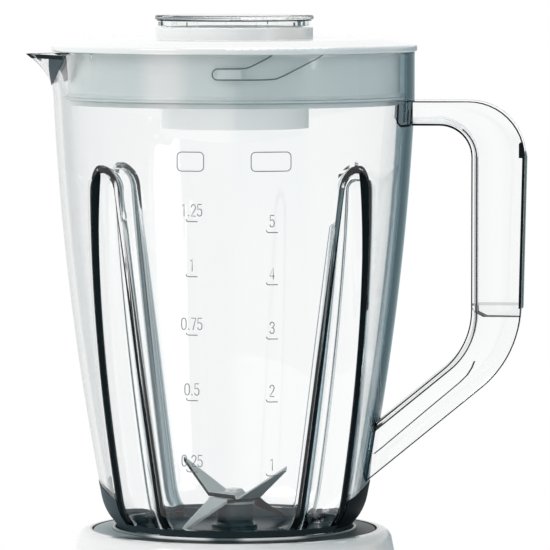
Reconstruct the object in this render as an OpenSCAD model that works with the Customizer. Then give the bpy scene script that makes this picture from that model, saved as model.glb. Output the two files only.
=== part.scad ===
// Countertop blender: a clear fluted jug with a white lid, a measuring cap and steel blades,
// standing on a flared white motor base with a rotary switch.
// The origin lies on the jug's axis in the table plane. +Z is up, the handle points to +X,
// the spout to -X, the switch to -Y and the cord inlet to +Y.
// The jug and all it carries are drawn from the seat, the top of the base, and lifted by seat_z.

/* [Base housing] */
// Height of the seat, the top of the base, above the table
seat_z = 132; // [130:1:140]
// Radius of the housing where its rounded shoulder meets the wall
shoulder_r = 62.4; // [61.6:0.1:66]
// Drop from the seat to that point
shoulder_drop = 4.7; // [4:0.1:6]
// Radius of the rounded shoulder
shoulder_fillet = 4.5; // [3.4:0.1:5]
// Slope of the wall from upright at the shoulder, in degrees
shoulder_slope = 11; // [9:0.5:13]
// Radius of the long arc that the wall follows down
base_arc = 1700; // [1300:50:3000]
// Thickness of the housing wall
base_wall = 2.8; // [2.2:0.1:3.2]
// Height of the housing's lower edge above the table
skirt_z = 2; // [1.5:0.1:2.4]
// Depth of the recess that takes the jug's collar
recess_depth = 24.3; // [24.3:0.1:26]

/* [Base plate and foot] */
// Height of the underside of the base plate
plate_z = 2.6; // [2.5:0.1:3]
// Thickness of the base plate
plate_t = 2.8; // [2.4:0.1:3]
// Outer radius of the anti-slip foot ring
foot_ring_r = 76; // [74:0.5:77]
// Width of the foot ring
foot_ring_w = 9; // [6:0.5:10]
// Depth of the groove that holds the foot ring
foot_groove = 1; // [0.6:0.1:1.4]
// Distance of the base screws from the axis
base_screw_r = 59; // [56:0.5:60]
// Radius of the screw bosses
screw_boss_r = 5; // [4.2:0.1:5.5]
// Radius of the base screws' shanks
screw_r = 1.65; // [1.4:0.05:1.9]
// Number of vent slots in each ring
vent_count = 16; // [10:1:20]
// Width of a vent slot
vent_w = 3; // [2:0.1:3.4]

/* [Jug] */
// Height of the jug's rim above the seat
jug_h = 187; // [184:0.5:192]
// Widest radius of the long arc that the jug's wall follows
belly_r = 72.3; // [72:0.1:74]
// Height at which that arc would stand upright
belly_z = 222; // [215:1:230]
// Radius of the long arc
jug_arc = 1100; // [1000:20:1400]
// Radius of the arc that turns the wall in at the bottom
corner_r = 20; // [16:0.5:22]
// Height at which the bottom arc begins
corner_z = 13; // [11:0.5:15]
// Thickness of the jug's wall
jug_wall = 2.8; // [2.4:0.1:3.2]
// Outer radius of the jug's foot
jug_foot_r = 46.4; // [46:0.1:47]
// Length of the foot below the seat
foot_drop = 12; // [10:0.5:12.5]

/* [Flutes] */
// Width of each inward flute
flute_w = 11; // [8:0.5:12]
// Depth of a flute from the outer wall
flute_d = 8; // [6.5:0.5:9]
// Height of the flutes' upper ends
flute_top = 142.5; // [120:0.5:150]
// Height of the flutes' lower ends
flute_bottom = 1; // [0.6:0.1:3]
// Slope of the flutes' upper ends from level, in degrees
flute_slope = 40; // [30:1:50]

/* [Spout and lid track] */
// Distance of the spout's tip from the axis
spout_reach = 82.2; // [79:0.1:85]
// Half of the angle that the spout takes of the rim, in degrees
spout_half = 26; // [22:1:28]
// Length cut off the spout's sharp point, seen from above
spout_tip = 1.5; // [1:0.1:3]
// Height at which the spout leaves the wall
spout_root = 168; // [162:1:171]
// Depth of the lid's bayonet track in the inner wall
track_depth = 1.2; // [0.8:0.1:1.5]
// Depth of the level slot's lower edge below the rim
track_drop = 8.3; // [8:0.1:11]
// Clear height of the slot
track_slot = 4.3; // [4:0.1:4.6]
// Reach of the slot's closed end, to the left of the lug at rest
track_end = 8; // [7:0.5:10]
// Reach of the slot's straight edge, to the right of the lug
track_run = 15.5; // [14:0.5:17]
// Length of the ramp from the slot up to the rim
track_ramp = 16.5; // [15:0.5:20]
// Width of the ramp's open mouth at the rim
track_mouth = 18; // [15:0.5:20]

/* [Handle] */
// Distance of the grip's outer face from the axis
handle_reach = 114.6; // [112:0.5:118]
// Width of the handle
handle_w = 23; // [20:0.5:26]
// Depth of the grip from its inner to its outer face
grip_depth = 21; // [19:0.5:23]
// Height of the top of the upper arm
arm_top = 169; // [166:0.5:171]
// Depth of the upper arm
arm_depth = 9.2; // [8:0.1:11]
// Depth of the lower arm
lower_arm = 15.4; // [14:0.2:17]
// Slope of the lower arm, in degrees
lower_slope = 39.4; // [37:0.2:41]
// Height at which the lower arm's underside would meet the grip's outer face
knee_z = 68.7; // [66:0.5:72]
// Outer radius of the upper bend
bend_out = 22; // [18:0.5:24]
// Inner radius of the upper bend
bend_in = 12.5; // [10:0.5:14]
// Radius of the lower bend
knee_r = 30; // [26:0.5:32]
// Thickness of the handle's walls
handle_wall = 2.5; // [2.2:0.1:3]
// Height of the rib that closes the grip's channel below
grip_rib_z = 83.5; // [83:0.5:88]
// Thickness of that rib
grip_rib_t = 5.5; // [2.5:0.5:6]
// Height of the upper edge of the grip's cover
cover_top = 152; // [148:0.5:154]

/* [Lid and cap] */
// Outer radius of the lid
lid_r = 71.9; // [71:0.1:73]
// Height of the lid's edge above the rim
lid_edge = 3; // [2.6:0.1:3.4]
// Height of the lid's raised middle above the rim
lid_crown = 5.2; // [4.8:0.1:6]
// Width of the slope between the lid's edge and its middle
lid_bevel = 12; // [8:0.5:20]
// Radius that rounds the top of that slope
lid_round = 20; // [10:1:40]
// Thickness of the lid's walls
lid_wall = 2.2; // [1.8:0.1:2.6]
// Gap between the lid's skirt and the jug's inner wall, at the rim
skirt_gap = 3.74; // [3:0.01:4.4]
// Depth of the skirt below the rim
skirt_depth = 18.7; // [17:0.1:20]
// Inner radius of the filler neck
neck_r = 27.1; // [25:0.1:27.4]
// Outer radius of the collar round the filler neck
collar_neck_r = 31; // [30.6:0.1:32]
// Height of that collar above the rim
neck_top = 10.9; // [9:0.1:12]
// Depth of the filler neck below the rim
neck_depth = 28.8; // [26:0.1:31]
// Radius of the measuring cap's disc
cap_r = 31.2; // [30:0.1:33]
// Thickness of that disc
cap_t = 1.9; // [1.6:0.1:2.4]
// Depth of the measuring cup below the collar's top
cup_depth = 32; // [25:0.5:36]
// Wall of the measuring cup
cup_wall = 1.8; // [1.4:0.1:2.2]

/* [Blade unit] */
// Outer radius of the jug's screw collar
collar_r = 55.9; // [54:0.1:56]
// Length of the collar below the seat
collar_drop = 24; // [23.5:0.1:24]
// Height of the blade holder's rim above the seat
holder_rim = 3; // [2:0.1:4]
// Depth of the holder's floor below the seat
holder_floor = 2; // [1.5:0.1:2.5]
// Wall of the blade holder
holder_wall = 2; // [1.6:0.1:2.4]
// Radius of the holder's hub
hub_r = 7.1; // [6.6:0.1:7.6]
// Height of the hub's top above the seat
hub_top = 9.6; // [8:0.1:11]
// Radius of the blade shaft
blade_shaft_r = 3; // [2.6:0.05:3.4]
// Distance of the blade tips from the axis
blade_reach = 31; // [26:0.5:34]
// Width of a blade at its root
blade_w = 12; // [10:0.5:14]
// Width of a blade at its tip
blade_tip_w = 3; // [2:0.5:4]
// Thickness of the blades' sheet
blade_t = 1.5; // [1.2:0.1:1.8]
// Rise of the upper blade's arms, in degrees
blade_rise = 29; // [20:1:34]
// Fall of the lower blade's arms, in degrees
blade_fall = 24; // [16:1:25]

/* [Drive] */
// Radius of the motor shaft
motor_shaft_r = 4; // [3.5:0.1:4.5]
// Number of teeth of the couplings
tooth_count = 10; // [6:1:12]
// Root radius of the jug's coupling
tooth_root_r = 8.2; // [7.6:0.1:8.6]
// Tip radius of the jug's coupling
tooth_tip_r = 10.2; // [9.8:0.1:10.8]
// Outer radius of the base's coupling
drive_r = 15; // [13.5:0.1:16]
// Radius of the rotor
rotor_r = 19.5; // [17:0.1:20]
// Length of the rotor and of the stator
stack_l = 32; // [26:1:34]
// Width of the stator
stator_w = 68; // [64:1:70]
// Depth of the stator, front to back
stator_d = 56; // [55:1:60]
// Outer radius of the ball bearings
bearing_r = 11; // [10:0.1:11.5]
// Height of the ball bearings
bearing_h = 7; // [6:0.1:8]
// Outer radius of the cooling fan
fan_r = 30; // [26:0.5:31]
// Number of fan blades
fan_blades = 9; // [6:1:12]
// Thickness of the motor brackets
bracket_t = 2.5; // [2:0.1:3]
// Thickness of the rubber dampers
damper_t = 4; // [3:0.1:5]

/* [Switch and cord inlet] */
// Height of the switch knob's axis where it leaves the wall
knob_z = 64; // [60:1:72]
// Radius of the knob
knob_r = 20; // [17:0.5:21]
// Height of the knob
knob_h = 16; // [13:0.5:19]
// Radius of the round pad behind the knob
pad_r = 27; // [25.5:0.5:29]
// Radius of the switch shaft
switch_shaft_r = 3; // [2.6:0.1:3.2]
// Height of the cord inlet's axis
inlet_z = 17; // [15.5:0.5:20]
// Bore radius of the cord inlet's bushing
inlet_bore_r = 3.6; // [3:0.1:4]

/* [Clearances] */
// Gap between pieces that part or move past each other
gap = 0.4; // [0.3:0.05:0.5]
// Radial clearance of a shaft that turns in its bearing
running_fit = 0.05; // [0.03:0.01:0.08]
// Radial clearance of a piece that is pressed or set into another
set_fit = 0.05; // [0.02:0.01:0.1]

/* [Hidden] */
$fn = 72;
FINE = 1440;  // steps of the long arcs

function unit(v) = v / norm(v);
// Radius at height z of a wall that follows an arc of radius r about the point c
function arc_r(c, r, z) = c[0] + sqrt(r * r - (z - c[1]) * (z - c[1]));

// The jug's long arc and the arc that turns it in at the bottom
jug_c = [belly_r - jug_arc, belly_z];
wall_dir = unit([arc_r(jug_c, jug_arc, corner_z), corner_z] - jug_c);
corner_c = jug_c + (jug_arc - corner_r) * wall_dir;
skirt_r = arc_r(jug_c, jug_arc, jug_h) - jug_wall - skirt_gap;
track_z = jug_h - track_drop;
foot_bore_r = jug_foot_r - jug_wall;
spout_lip = 1.2;
spout_wall_r = arc_r(jug_c, jug_arc, spout_root);
flare_r = spout_wall_r - 0.3;  // the flare starts inside the wall
spout_out = spout_reach + 0.5 - flare_r;
spout_up = jug_h - spout_lip - spout_root;
spout_cove = (spout_out * spout_out + spout_up * spout_up) / (2 * spout_out);
spout_root_r = spout_wall_r - 0.5;
spout_point = spout_reach + spout_tip;
spout_flank = atan(spout_root_r * sin(spout_half) / (spout_point - spout_root_r * cos(spout_half)));
grip_in = handle_reach - grip_depth;
arm_under = arm_top - arm_depth;

// The housing's long arc and its rounded shoulder
base_c = [shoulder_r, seat_z - shoulder_drop] - base_arc * [cos(shoulder_slope), sin(shoulder_slope)];
shoulder_c = [arc_r(base_c, base_arc - shoulder_fillet, seat_z - shoulder_fillet), seat_z - shoulder_fillet];
shoulder_t = shoulder_c + shoulder_fillet * unit(shoulder_c - base_c);
recess_r = collar_r + gap;
recess_floor = seat_z - recess_depth;
deck_z = recess_floor - base_wall;
cushion_r = recess_r - 1.2;
cushion_w = 6.8;
cushion_groove = 1;
plate_top = plate_z + plate_t;
plate_r = arc_r(base_c, base_arc - base_wall, plate_top) - gap;

// The blade unit, drawn from the seat
foot_seal_t = 1.5;
holder_r = foot_bore_r - gap;
flange_top = -foot_drop - foot_seal_t;
flange_t = 2.5;
flange_z = flange_top - flange_t;
floor_t = 2.5;
hub_low_r = hub_r + 2;
hub_low = -11;
bush_r = blade_shaft_r + 2.2;
bush_h = 6;
washer_t = 1;
washer_z = hub_top + gap;
lower_blade_z = washer_z + washer_t;
upper_blade_z = lower_blade_z + blade_t;
blade_root = 9;
coupling_top = hub_low - gap;
coupling_h = 7.2;
shaft_seal_h = 3;

// The seal in the lid's skirt
lid_seal_in = 1.2;
lid_seal_h = 3;

// The drive, drawn from the table
drive_z = recess_floor + 1.3;
drive_floor_t = 3.4;
socket_z = drive_z + drive_floor_t;
drive_top = seat_z + coupling_top - gap;
boss_l = 5;
bracket_top = deck_z - boss_l - damper_t;
upper_bearing_z = bracket_top - bracket_t - bearing_h;
stack_z = 42;
stack_top = stack_z + stack_l;
end_turn = 5.6;
fan_z = plate_top + 3.2;
fan_h = 8.4;
lower_cup_z = fan_z + fan_h + 0.6;
lower_bearing_z = lower_cup_z + 1;
lower_plate_z = lower_bearing_z + 1.5;
commutator_z = lower_bearing_z + bearing_h + 1;
commutator_h = 8.5;
commutator_r = 10.5;
bolt_r = 2;
bolt_at = [stator_w / 2 - 6, stator_d / 2 - 6];
damper_at = 30;
bracket_screw_r = 1.8;
coil_in = rotor_r + 2;
coil_out = stator_d / 2 - 1.2;
coil_w = 14;
brush_w = 6;
brush_l = 14;
brush_up = commutator_z - lower_plate_z - bracket_t + 1.2;
deck_hole_r = 11;

// The switch, drawn outward from the wall along its own axis
knob_tilt = asin((knob_z - base_c[1]) / base_arc);
pad_out = 1.5;
pad_in = 7;
switch_w = 30;
switch_l = 16;
bezel_t = 1.6;
bushing_r = 5;
nut_r = 7.5;
nut_t = 2.2;
knob_low = pad_out + bezel_t + gap;

// The cord inlet
inlet_y = arc_r(base_c, base_arc, inlet_z) + 1;
inlet_boss_r = 11;
inlet_body_r = inlet_bore_r + 2.4;

// Cuts (or, at an inner corner, fills) the corner p between its neighbours a and b to radius r.
// The piece reaches a little past both edges.
module corner_piece(p, a, b, r) {
  half = acos(unit(a - p) * unit(b - p)) / 2;
  inward = unit(unit(a - p) + unit(b - p));
  end_a = p + unit(a - p) * r / tan(half);
  end_b = p + unit(b - p) * r / tan(half);
  past = -0.3 * inward;
  difference() {
    polygon([p + past, end_a + past, end_a, end_b, end_b + past]);
    translate(p + inward * r / sin(half)) circle(r = r);
  }
}

// A polygon whose corners are true arcs: pts run anticlockwise, radii has one radius a corner.
module rounded(pts, radii) {
  n = len(pts);
  turn = [for (i = [0:n - 1]) cross(pts[i] - pts[(i + n - 1) % n], pts[(i + 1) % n] - pts[i])];
  difference() {
    union() {
      polygon(pts);
      for (i = [0:n - 1]) if (radii[i] > 0 && turn[i] < 0)
        corner_piece(pts[i], pts[(i + n - 1) % n], pts[(i + 1) % n], radii[i]);
    }
    for (i = [0:n - 1]) if (radii[i] > 0 && turn[i] > 0)
      corner_piece(pts[i], pts[(i + n - 1) % n], pts[(i + 1) % n], radii[i]);
  }
}

module rounded_rect(w, d, r)
  rounded([[-w / 2, -d / 2], [w / 2, -d / 2], [w / 2, d / 2], [-w / 2, d / 2]], [r, r, r, r]);

module tube(r_out, r_in, z0, z1) {
  translate([0, 0, z0]) difference() {
    cylinder(r = r_out, h = z1 - z0);
    translate([0, 0, -1]) cylinder(r = r_in, h = z1 - z0 + 2);
  }
}

// Copies its children at n equal steps about the axis, from the angle first.
module around(n, first = 0) for (i = [0:n - 1]) rotate([0, 0, first + i * 360 / n]) children();

// Copies its children at the four corners of a rectangle of half sizes p.
module at_corners(p) for (x = [-1, 1], y = [-1, 1]) translate([x * p[0], y * p[1], 0]) children();

// ---- jug ----

// Half section of the jug's outside, moved in by inset.
module jug_profile(inset, top, bottom) {
  intersection() {
    translate(jug_c) circle(r = jug_arc - inset, $fn = FINE);
    translate([0, corner_z]) square([2 * belly_r, top - corner_z]);
  }
  intersection() {
    translate(corner_c) circle(r = corner_r - inset);
    square([2 * belly_r, corner_z]);
  }
  translate([0, bottom]) square([jug_foot_r - inset, corner_z - bottom]);
}

module jug_revolve(inset, top, bottom) rotate_extrude($fn = 180) jug_profile(inset, top, bottom);

// One flute: a round-nosed channel that keeps its depth along the wall's long arc.
module flute(w, d, top, bottom) {
  reach = jug_arc - d + w / 2;
  a_top = -asin((belly_z - top) / reach);
  a_bottom = -asin((belly_z - bottom) / reach);
  difference() {
    translate([jug_c[0], 0, jug_c[1]]) rotate([90, 0, 0]) rotate([0, 0, a_bottom])
      rotate_extrude(angle = a_top - a_bottom, $fn = FINE) {
        translate([reach, 0]) circle(r = w / 2);
        translate([reach, -w / 2]) square([d + 10, w]);
      }
    translate([belly_r, 0, top]) rotate([0, -flute_slope, 0])
      translate([-2 * d, -w, 0]) cube([4 * d, 2 * w, 3 * d]);
  }
}

module flutes(grow) around(4, 45)
  flute(flute_w + 2 * grow, flute_d + grow, flute_top + grow, flute_bottom - grow);

// The spout, moved in by inset: a flare of the wall, cut to the spout's outline from above.
module spout(inset, top) {
  point = spout_point - inset / sin(spout_flank);
  root_x = spout_root_r * cos(spout_half);
  root_y = (point - root_x) * tan(spout_flank);
  intersection() {
    translate([0, 0, spout_root]) linear_extrude(top - spout_root)
      polygon([[-point, 0], [-root_x, -root_y], [20 - root_x, -root_y], [20 - root_x, root_y],
        [-root_x, root_y]]);
    rotate_extrude($fn = 180) difference() {
      translate([0, spout_root - 1]) square([spout_reach - inset, top - spout_root + 2]);
      translate([flare_r + spout_cove, spout_root]) circle(r = spout_cove + inset);
    }
  }
}

// The outside of the handle, moved in by inset.
module handle_outside(inset) {
  up = inset / cos(lower_slope);
  corner_x = handle_reach - inset;
  corner_y = knee_z - inset * tan(lower_slope) + up;
  rounded([[jug_foot_r, corner_y - (corner_x - jug_foot_r) * tan(lower_slope)], [corner_x, corner_y],
    [corner_x, arm_top - inset], [jug_foot_r, arm_top - inset]],
    [0, knee_r - inset, bend_out - inset, 0]);
}

// The finger gap, grown by grow.
module finger_gap(grow) {
  corner_x = grip_in + grow;
  line_y = knee_z - (handle_reach - grip_in) * tan(lower_slope) + lower_arm / cos(lower_slope);
  corner_y = line_y + grow * tan(lower_slope) - grow / cos(lower_slope);
  start_x = jug_foot_r - 10;
  rounded([[start_x, corner_y - (corner_x - start_x) * tan(lower_slope)], [corner_x, corner_y],
    [corner_x, arm_under + grow], [start_x, arm_under + grow]],
    [0, knee_r - grow, bend_in + grow, 0]);
}

// Stands a side outline up across the handle, w wide.
module across(w) translate([0, w / 2, 0]) rotate([90, 0, 0]) linear_extrude(w) children();

// The handle is a channel, open outward, whose web follows the finger gap.
module handle() {
  difference() {
    across(handle_w) difference() {
      handle_outside(0);
      finger_gap(0);
    }
    across(handle_w - 2 * handle_wall) difference() {
      handle_outside(-1);
      finger_gap(handle_wall);
      translate([grip_in, grip_rib_z]) square([2 * grip_depth, grip_rib_t]);
    }
  }
}

// One bayonet track of the lid: a level slot with a closed end and a ramp up to the rim.
module lid_track() {
  slot_top = track_z + track_slot;
  mouth = track_run + track_ramp;
  intersection() {
    rotate([90, 0, 0]) linear_extrude(2 * belly_r)
      rounded([[-track_end, track_z], [track_run, track_z], [mouth, jug_h + 1],
        [mouth - track_mouth, jug_h + 1], [track_run - 11, slot_top], [-track_end, slot_top]],
        [2, 0, 0, 0, 0, 2]);
    jug_revolve(jug_wall - track_depth, jug_h + 1, corner_z - 1);
  }
}

module jug() color([0.85, 0.92, 0.95, 0.5]) translate([0, 0, seat_z]) {
  difference() {
    union() {
      jug_revolve(0, jug_h, -foot_drop);
      spout(0, jug_h);
      handle();
    }
    flutes(0);
    difference() {
      jug_revolve(jug_wall, jug_h + 1, -foot_drop - 1);
      flutes(jug_wall);
    }
    spout(jug_wall, jug_h + 1);
    around(2, 4) lid_track();
  }
}

module handle_cover() color([0.85, 0.92, 0.95, 0.5]) translate([0, 0, seat_z])
  across(handle_w - 2 * handle_wall - gap) intersection() {
    difference() {
      handle_outside(0);
      handle_outside(handle_wall);
    }
    translate([grip_in, grip_rib_z + grip_rib_t])
      square([2 * grip_depth, cover_top - grip_rib_z - grip_rib_t]);
  }

// ---- collar and blade unit ----

// The screw collar holds the blade holder and its seal against the jug's foot.
module jug_collar() color([0.25, 0.30, 0.32]) translate([0, 0, seat_z]) {
  bore = jug_foot_r + gap;
  rotate_extrude($fn = 144) difference() {
    rounded([[bore - 9, -collar_drop], [collar_r, -collar_drop], [collar_r, 0], [bore - 9, 0]],
      [0, 1.2, 1.2, 0]);
    translate([bore - 10, flange_z]) square([10, -flange_z + 1]);
    translate([bore - 10, -collar_drop - 1]) square([11, collar_drop + flange_z - 2.5]);
  }
}

module blade_holder() color([0.35, 0.42, 0.44]) translate([0, 0, seat_z]) {
  inner_r = holder_r - holder_wall;
  floor_low = -holder_floor - floor_t;
  difference() {
    union() {
      rotate_extrude($fn = 144) difference() {
        union() {
          translate([0, flange_z]) square([holder_r, holder_rim - flange_z]);
          translate([0, flange_z]) square([jug_foot_r, flange_t]);
        }
        translate([-1, -holder_floor]) square([inner_r + 1, holder_rim + holder_floor + 1]);
        translate([-1, flange_z - 1]) square([inner_r + 1, floor_low - flange_z + 1]);
      }
      cylinder(r = hub_r, h = hub_top);
      translate([0, 0, -holder_floor - 1]) cylinder(r1 = hub_r + 3, r2 = hub_r, h = 4);
      translate([0, 0, hub_low]) cylinder(r = hub_low_r, h = -hub_low);
      // Ribs under the floor
      around(6) translate([hub_r, -1, -9]) cube([inner_r - hub_r + 0.5, 2, 6]);
    }
    translate([0, 0, hub_low - 1]) cylinder(r = blade_shaft_r + gap, h = hub_top - hub_low + 2);
    translate([0, 0, hub_top - bush_h]) cylinder(r = bush_r + set_fit, h = bush_h + 1);
    translate([0, 0, hub_low - 1]) cylinder(r = bush_r + set_fit, h = bush_h + 1);
    translate([0, 0, hub_low + bush_h - 1]) cylinder(r = bush_r + set_fit, h = shaft_seal_h + 1);
    // Notches where the jug's flutes come down past the rim
    around(4, 45) translate([foot_bore_r - flute_d + 2, -flute_w / 2 - jug_wall - gap, -holder_floor])
      cube([flute_d, flute_w + 2 * jug_wall + 2 * gap, holder_rim + holder_floor + 1]);
  }
}

module holder_seal() color([0.3, 0.3, 0.3]) translate([0, 0, seat_z])
  tube(jug_foot_r, holder_r + set_fit, flange_top, -foot_drop);

module shaft_bush(z) translate([0, 0, seat_z]) tube(bush_r, blade_shaft_r + running_fit, z, z + bush_h);

module upper_bush() color([0.72, 0.55, 0.3]) shaft_bush(hub_top - bush_h);

module lower_bush() color([0.72, 0.55, 0.3]) shaft_bush(hub_low);

module shaft_seal() color([0.1, 0.1, 0.1]) translate([0, 0, seat_z])
  tube(bush_r, blade_shaft_r + running_fit, hub_low + bush_h, hub_low + bush_h + shaft_seal_h);

module blade_shaft() color([0.75, 0.76, 0.78]) translate([0, 0, seat_z + coupling_top - coupling_h + 1])
  cylinder(r = blade_shaft_r, h = upper_blade_z + blade_t - coupling_top + coupling_h - 1);

// A toothed outline, n teeth between the root and tip radii, grown by grow.
module spline(n, root_r, tip_r, grow) {
  circle(r = root_r + grow);
  tooth = PI * root_r / n;
  around(n) translate([0, -tooth / 2 - grow]) square([tip_r + grow, tooth + 2 * grow]);
}

module driven_coupling() color([0.15, 0.15, 0.16])
  translate([0, 0, seat_z + coupling_top - coupling_h]) difference() {
    linear_extrude(coupling_h) spline(tooth_count, tooth_root_r, tooth_tip_r, 0);
    translate([0, 0, 1]) cylinder(r = blade_shaft_r + set_fit, h = coupling_h);
  }

module blade_washer() color([0.8, 0.8, 0.82]) translate([0, 0, seat_z])
  tube(blade_root - 1, blade_shaft_r + set_fit, washer_z, washer_z + washer_t);

// One bent strip: its side outline stood up across, cut to its outline from above, with both
// leading edges ground back. The arms lean by angle from level and start at the root.
module blade(angle) {
  length = blade_reach - blade_root;
  rise = length * tan(angle);
  thick = blade_t / cos(angle);
  half_w = blade_w / 2;
  difference() {
    intersection() {
      across(2 * blade_w)
        polygon([[-blade_reach, rise], [-blade_root, 0], [blade_root, 0], [blade_reach, rise],
          [blade_reach, rise + thick], [blade_root, blade_t], [-blade_root, blade_t],
          [-blade_reach, rise + thick]]);
      translate([0, 0, -blade_reach]) linear_extrude(2 * blade_reach)
        polygon([[-blade_root, -half_w], [blade_root, -half_w], [blade_reach, half_w - blade_tip_w],
          [blade_reach, half_w], [-blade_root, half_w], [-blade_reach, blade_tip_w - half_w],
          [-blade_reach, -half_w]]);
    }
    translate([0, 0, -1]) cylinder(r = blade_shaft_r + set_fit, h = blade_t + 2);
    // The ground edge lies along the slanting side of each arm
    around(2) translate([blade_root, -half_w, 0]) rotate([0, -angle, 0])
      rotate([0, 0, atan((blade_w - blade_tip_w) * cos(angle) / length)])
        translate([-1, 0, 0.4]) rotate([28, 0, 0]) translate([0, -4, 0]) cube([2 * length, 8, 3]);
  }
}

module lower_blade() color([0.78, 0.79, 0.8])
  translate([0, 0, seat_z + lower_blade_z]) rotate([0, 0, 45]) blade(-blade_fall);

module upper_blade() color([0.78, 0.79, 0.8])
  translate([0, 0, seat_z + upper_blade_z]) rotate([0, 0, -45]) blade(blade_rise);

module blade_rivet() color([0.85, 0.85, 0.87]) translate([0, 0, seat_z + upper_blade_z + blade_t])
  rotate_extrude() difference() {
    translate([0, 0]) square([blade_shaft_r + 1, 1.8]);
    translate([blade_shaft_r + 1, 1.8]) rotate(45) square(1.6, center = true);
  }

// ---- lid and cap ----

module lid() color([0.96, 0.96, 0.95]) translate([0, 0, seat_z + jug_h]) {
  seat = gap;
  collar_in = neck_r + lid_wall;
  rotate_extrude($fn = 180) difference() {
    union() {
      rounded([[neck_r, seat], [lid_r, seat], [lid_r, lid_edge], [lid_r - lid_bevel, lid_crown],
        [neck_r, lid_crown]], [0, 0.8, 1.2, lid_round, 0]);
      translate([skirt_r - lid_wall, -skirt_depth]) square([lid_wall, skirt_depth + lid_edge]);
      translate([neck_r, -neck_depth]) square([lid_wall, neck_depth + lid_crown]);
      rounded([[neck_r, lid_edge], [collar_neck_r, lid_edge], [collar_neck_r, neck_top],
        [neck_r, neck_top]], [0, 0, 0.8, 0]);
    }
    // The hollow under the crown, between the neck and the skirt
    translate([collar_in, -1]) square([skirt_r - lid_wall - collar_in, lid_edge - lid_wall + 1.4]);
    translate([skirt_r - lid_seal_in, -skirt_depth + 1]) square([lid_seal_in + 1, lid_seal_h]);
  }
  lug_z = track_z - jug_h + gap;
  lug_h = track_slot - 2 * gap;
  around(2, 4) intersection() {
    tube(arc_r(jug_c, jug_arc - jug_wall, track_z) - gap, skirt_r - 1, lug_z, lug_z + lug_h);
    translate([-6, -2 * skirt_r, lug_z - 1]) cube([9, 2 * skirt_r, lug_h + 2]);
  }
}

module lid_seal() color([0.75, 0.77, 0.78]) translate([0, 0, seat_z + jug_h - skirt_depth + 1]) {
  lip_r = arc_r(jug_c, jug_arc - jug_wall, jug_h - skirt_depth + 1) - gap;
  in_r = skirt_r - lid_seal_in;
  rotate_extrude($fn = 180)
    polygon([[in_r, 0], [skirt_r, 0], [lip_r, 0.6], [lip_r, 1.2], [skirt_r + 0.6, 1.6],
      [skirt_r, lid_seal_h], [in_r, lid_seal_h]]);
}

module measuring_cap() color([0.88, 0.93, 0.95, 0.5]) translate([0, 0, seat_z + jug_h + neck_top]) {
  flange_h = 2.3;
  cup_r = neck_r - gap;
  low = gap;
  rotate_extrude($fn = 144) difference() {
    union() {
      rounded([[0, flange_h + low], [cap_r, flange_h + low], [cap_r, flange_h + low + cap_t],
        [0, flange_h + low + cap_t]], [0, 0.6, 0.9, 0]);
      translate([0, low]) square([cap_r - 2, flange_h + 0.5]);
      translate([0, -cup_depth]) square([cup_r, cup_depth + 1]);
    }
    translate([-1, -cup_depth - 1]) square([cup_r - cup_wall + 1, cup_depth + 1 + low + flange_h]);
  }
  // Small grips round the flange
  around(8, 16) translate([cap_r - 2.3, -2.5, low]) cube([1.2, 5, 1.6]);
}

// ---- base: housing, plate and foot ----

// Half section of the housing's outside, moved in by inset.
module base_profile(inset) {
  intersection() {
    translate(base_c) circle(r = base_arc - inset, $fn = FINE);
    translate([0, skirt_z]) square([2 * shoulder_r, shoulder_t[1] - skirt_z]);
  }
  intersection() {
    translate(shoulder_c) circle(r = shoulder_fillet - inset);
    translate([0, shoulder_t[1]]) square([2 * shoulder_r, seat_z - shoulder_t[1]]);
  }
  translate([0, shoulder_t[1]]) square([shoulder_c[0], seat_z - inset - shoulder_t[1]]);
}

// Moves its children to the switch's axis, which stands square on the front wall.
module at_knob() translate([0, -arc_r(base_c, base_arc, knob_z), knob_z])
  rotate([90 - knob_tilt, 0, 0]) children();

// Moves its children to the cord inlet's outer face, with +Z pointing out to the back.
module at_inlet() translate([0, inlet_y, inlet_z]) rotate([-90, 0, 0]) children();

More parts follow.
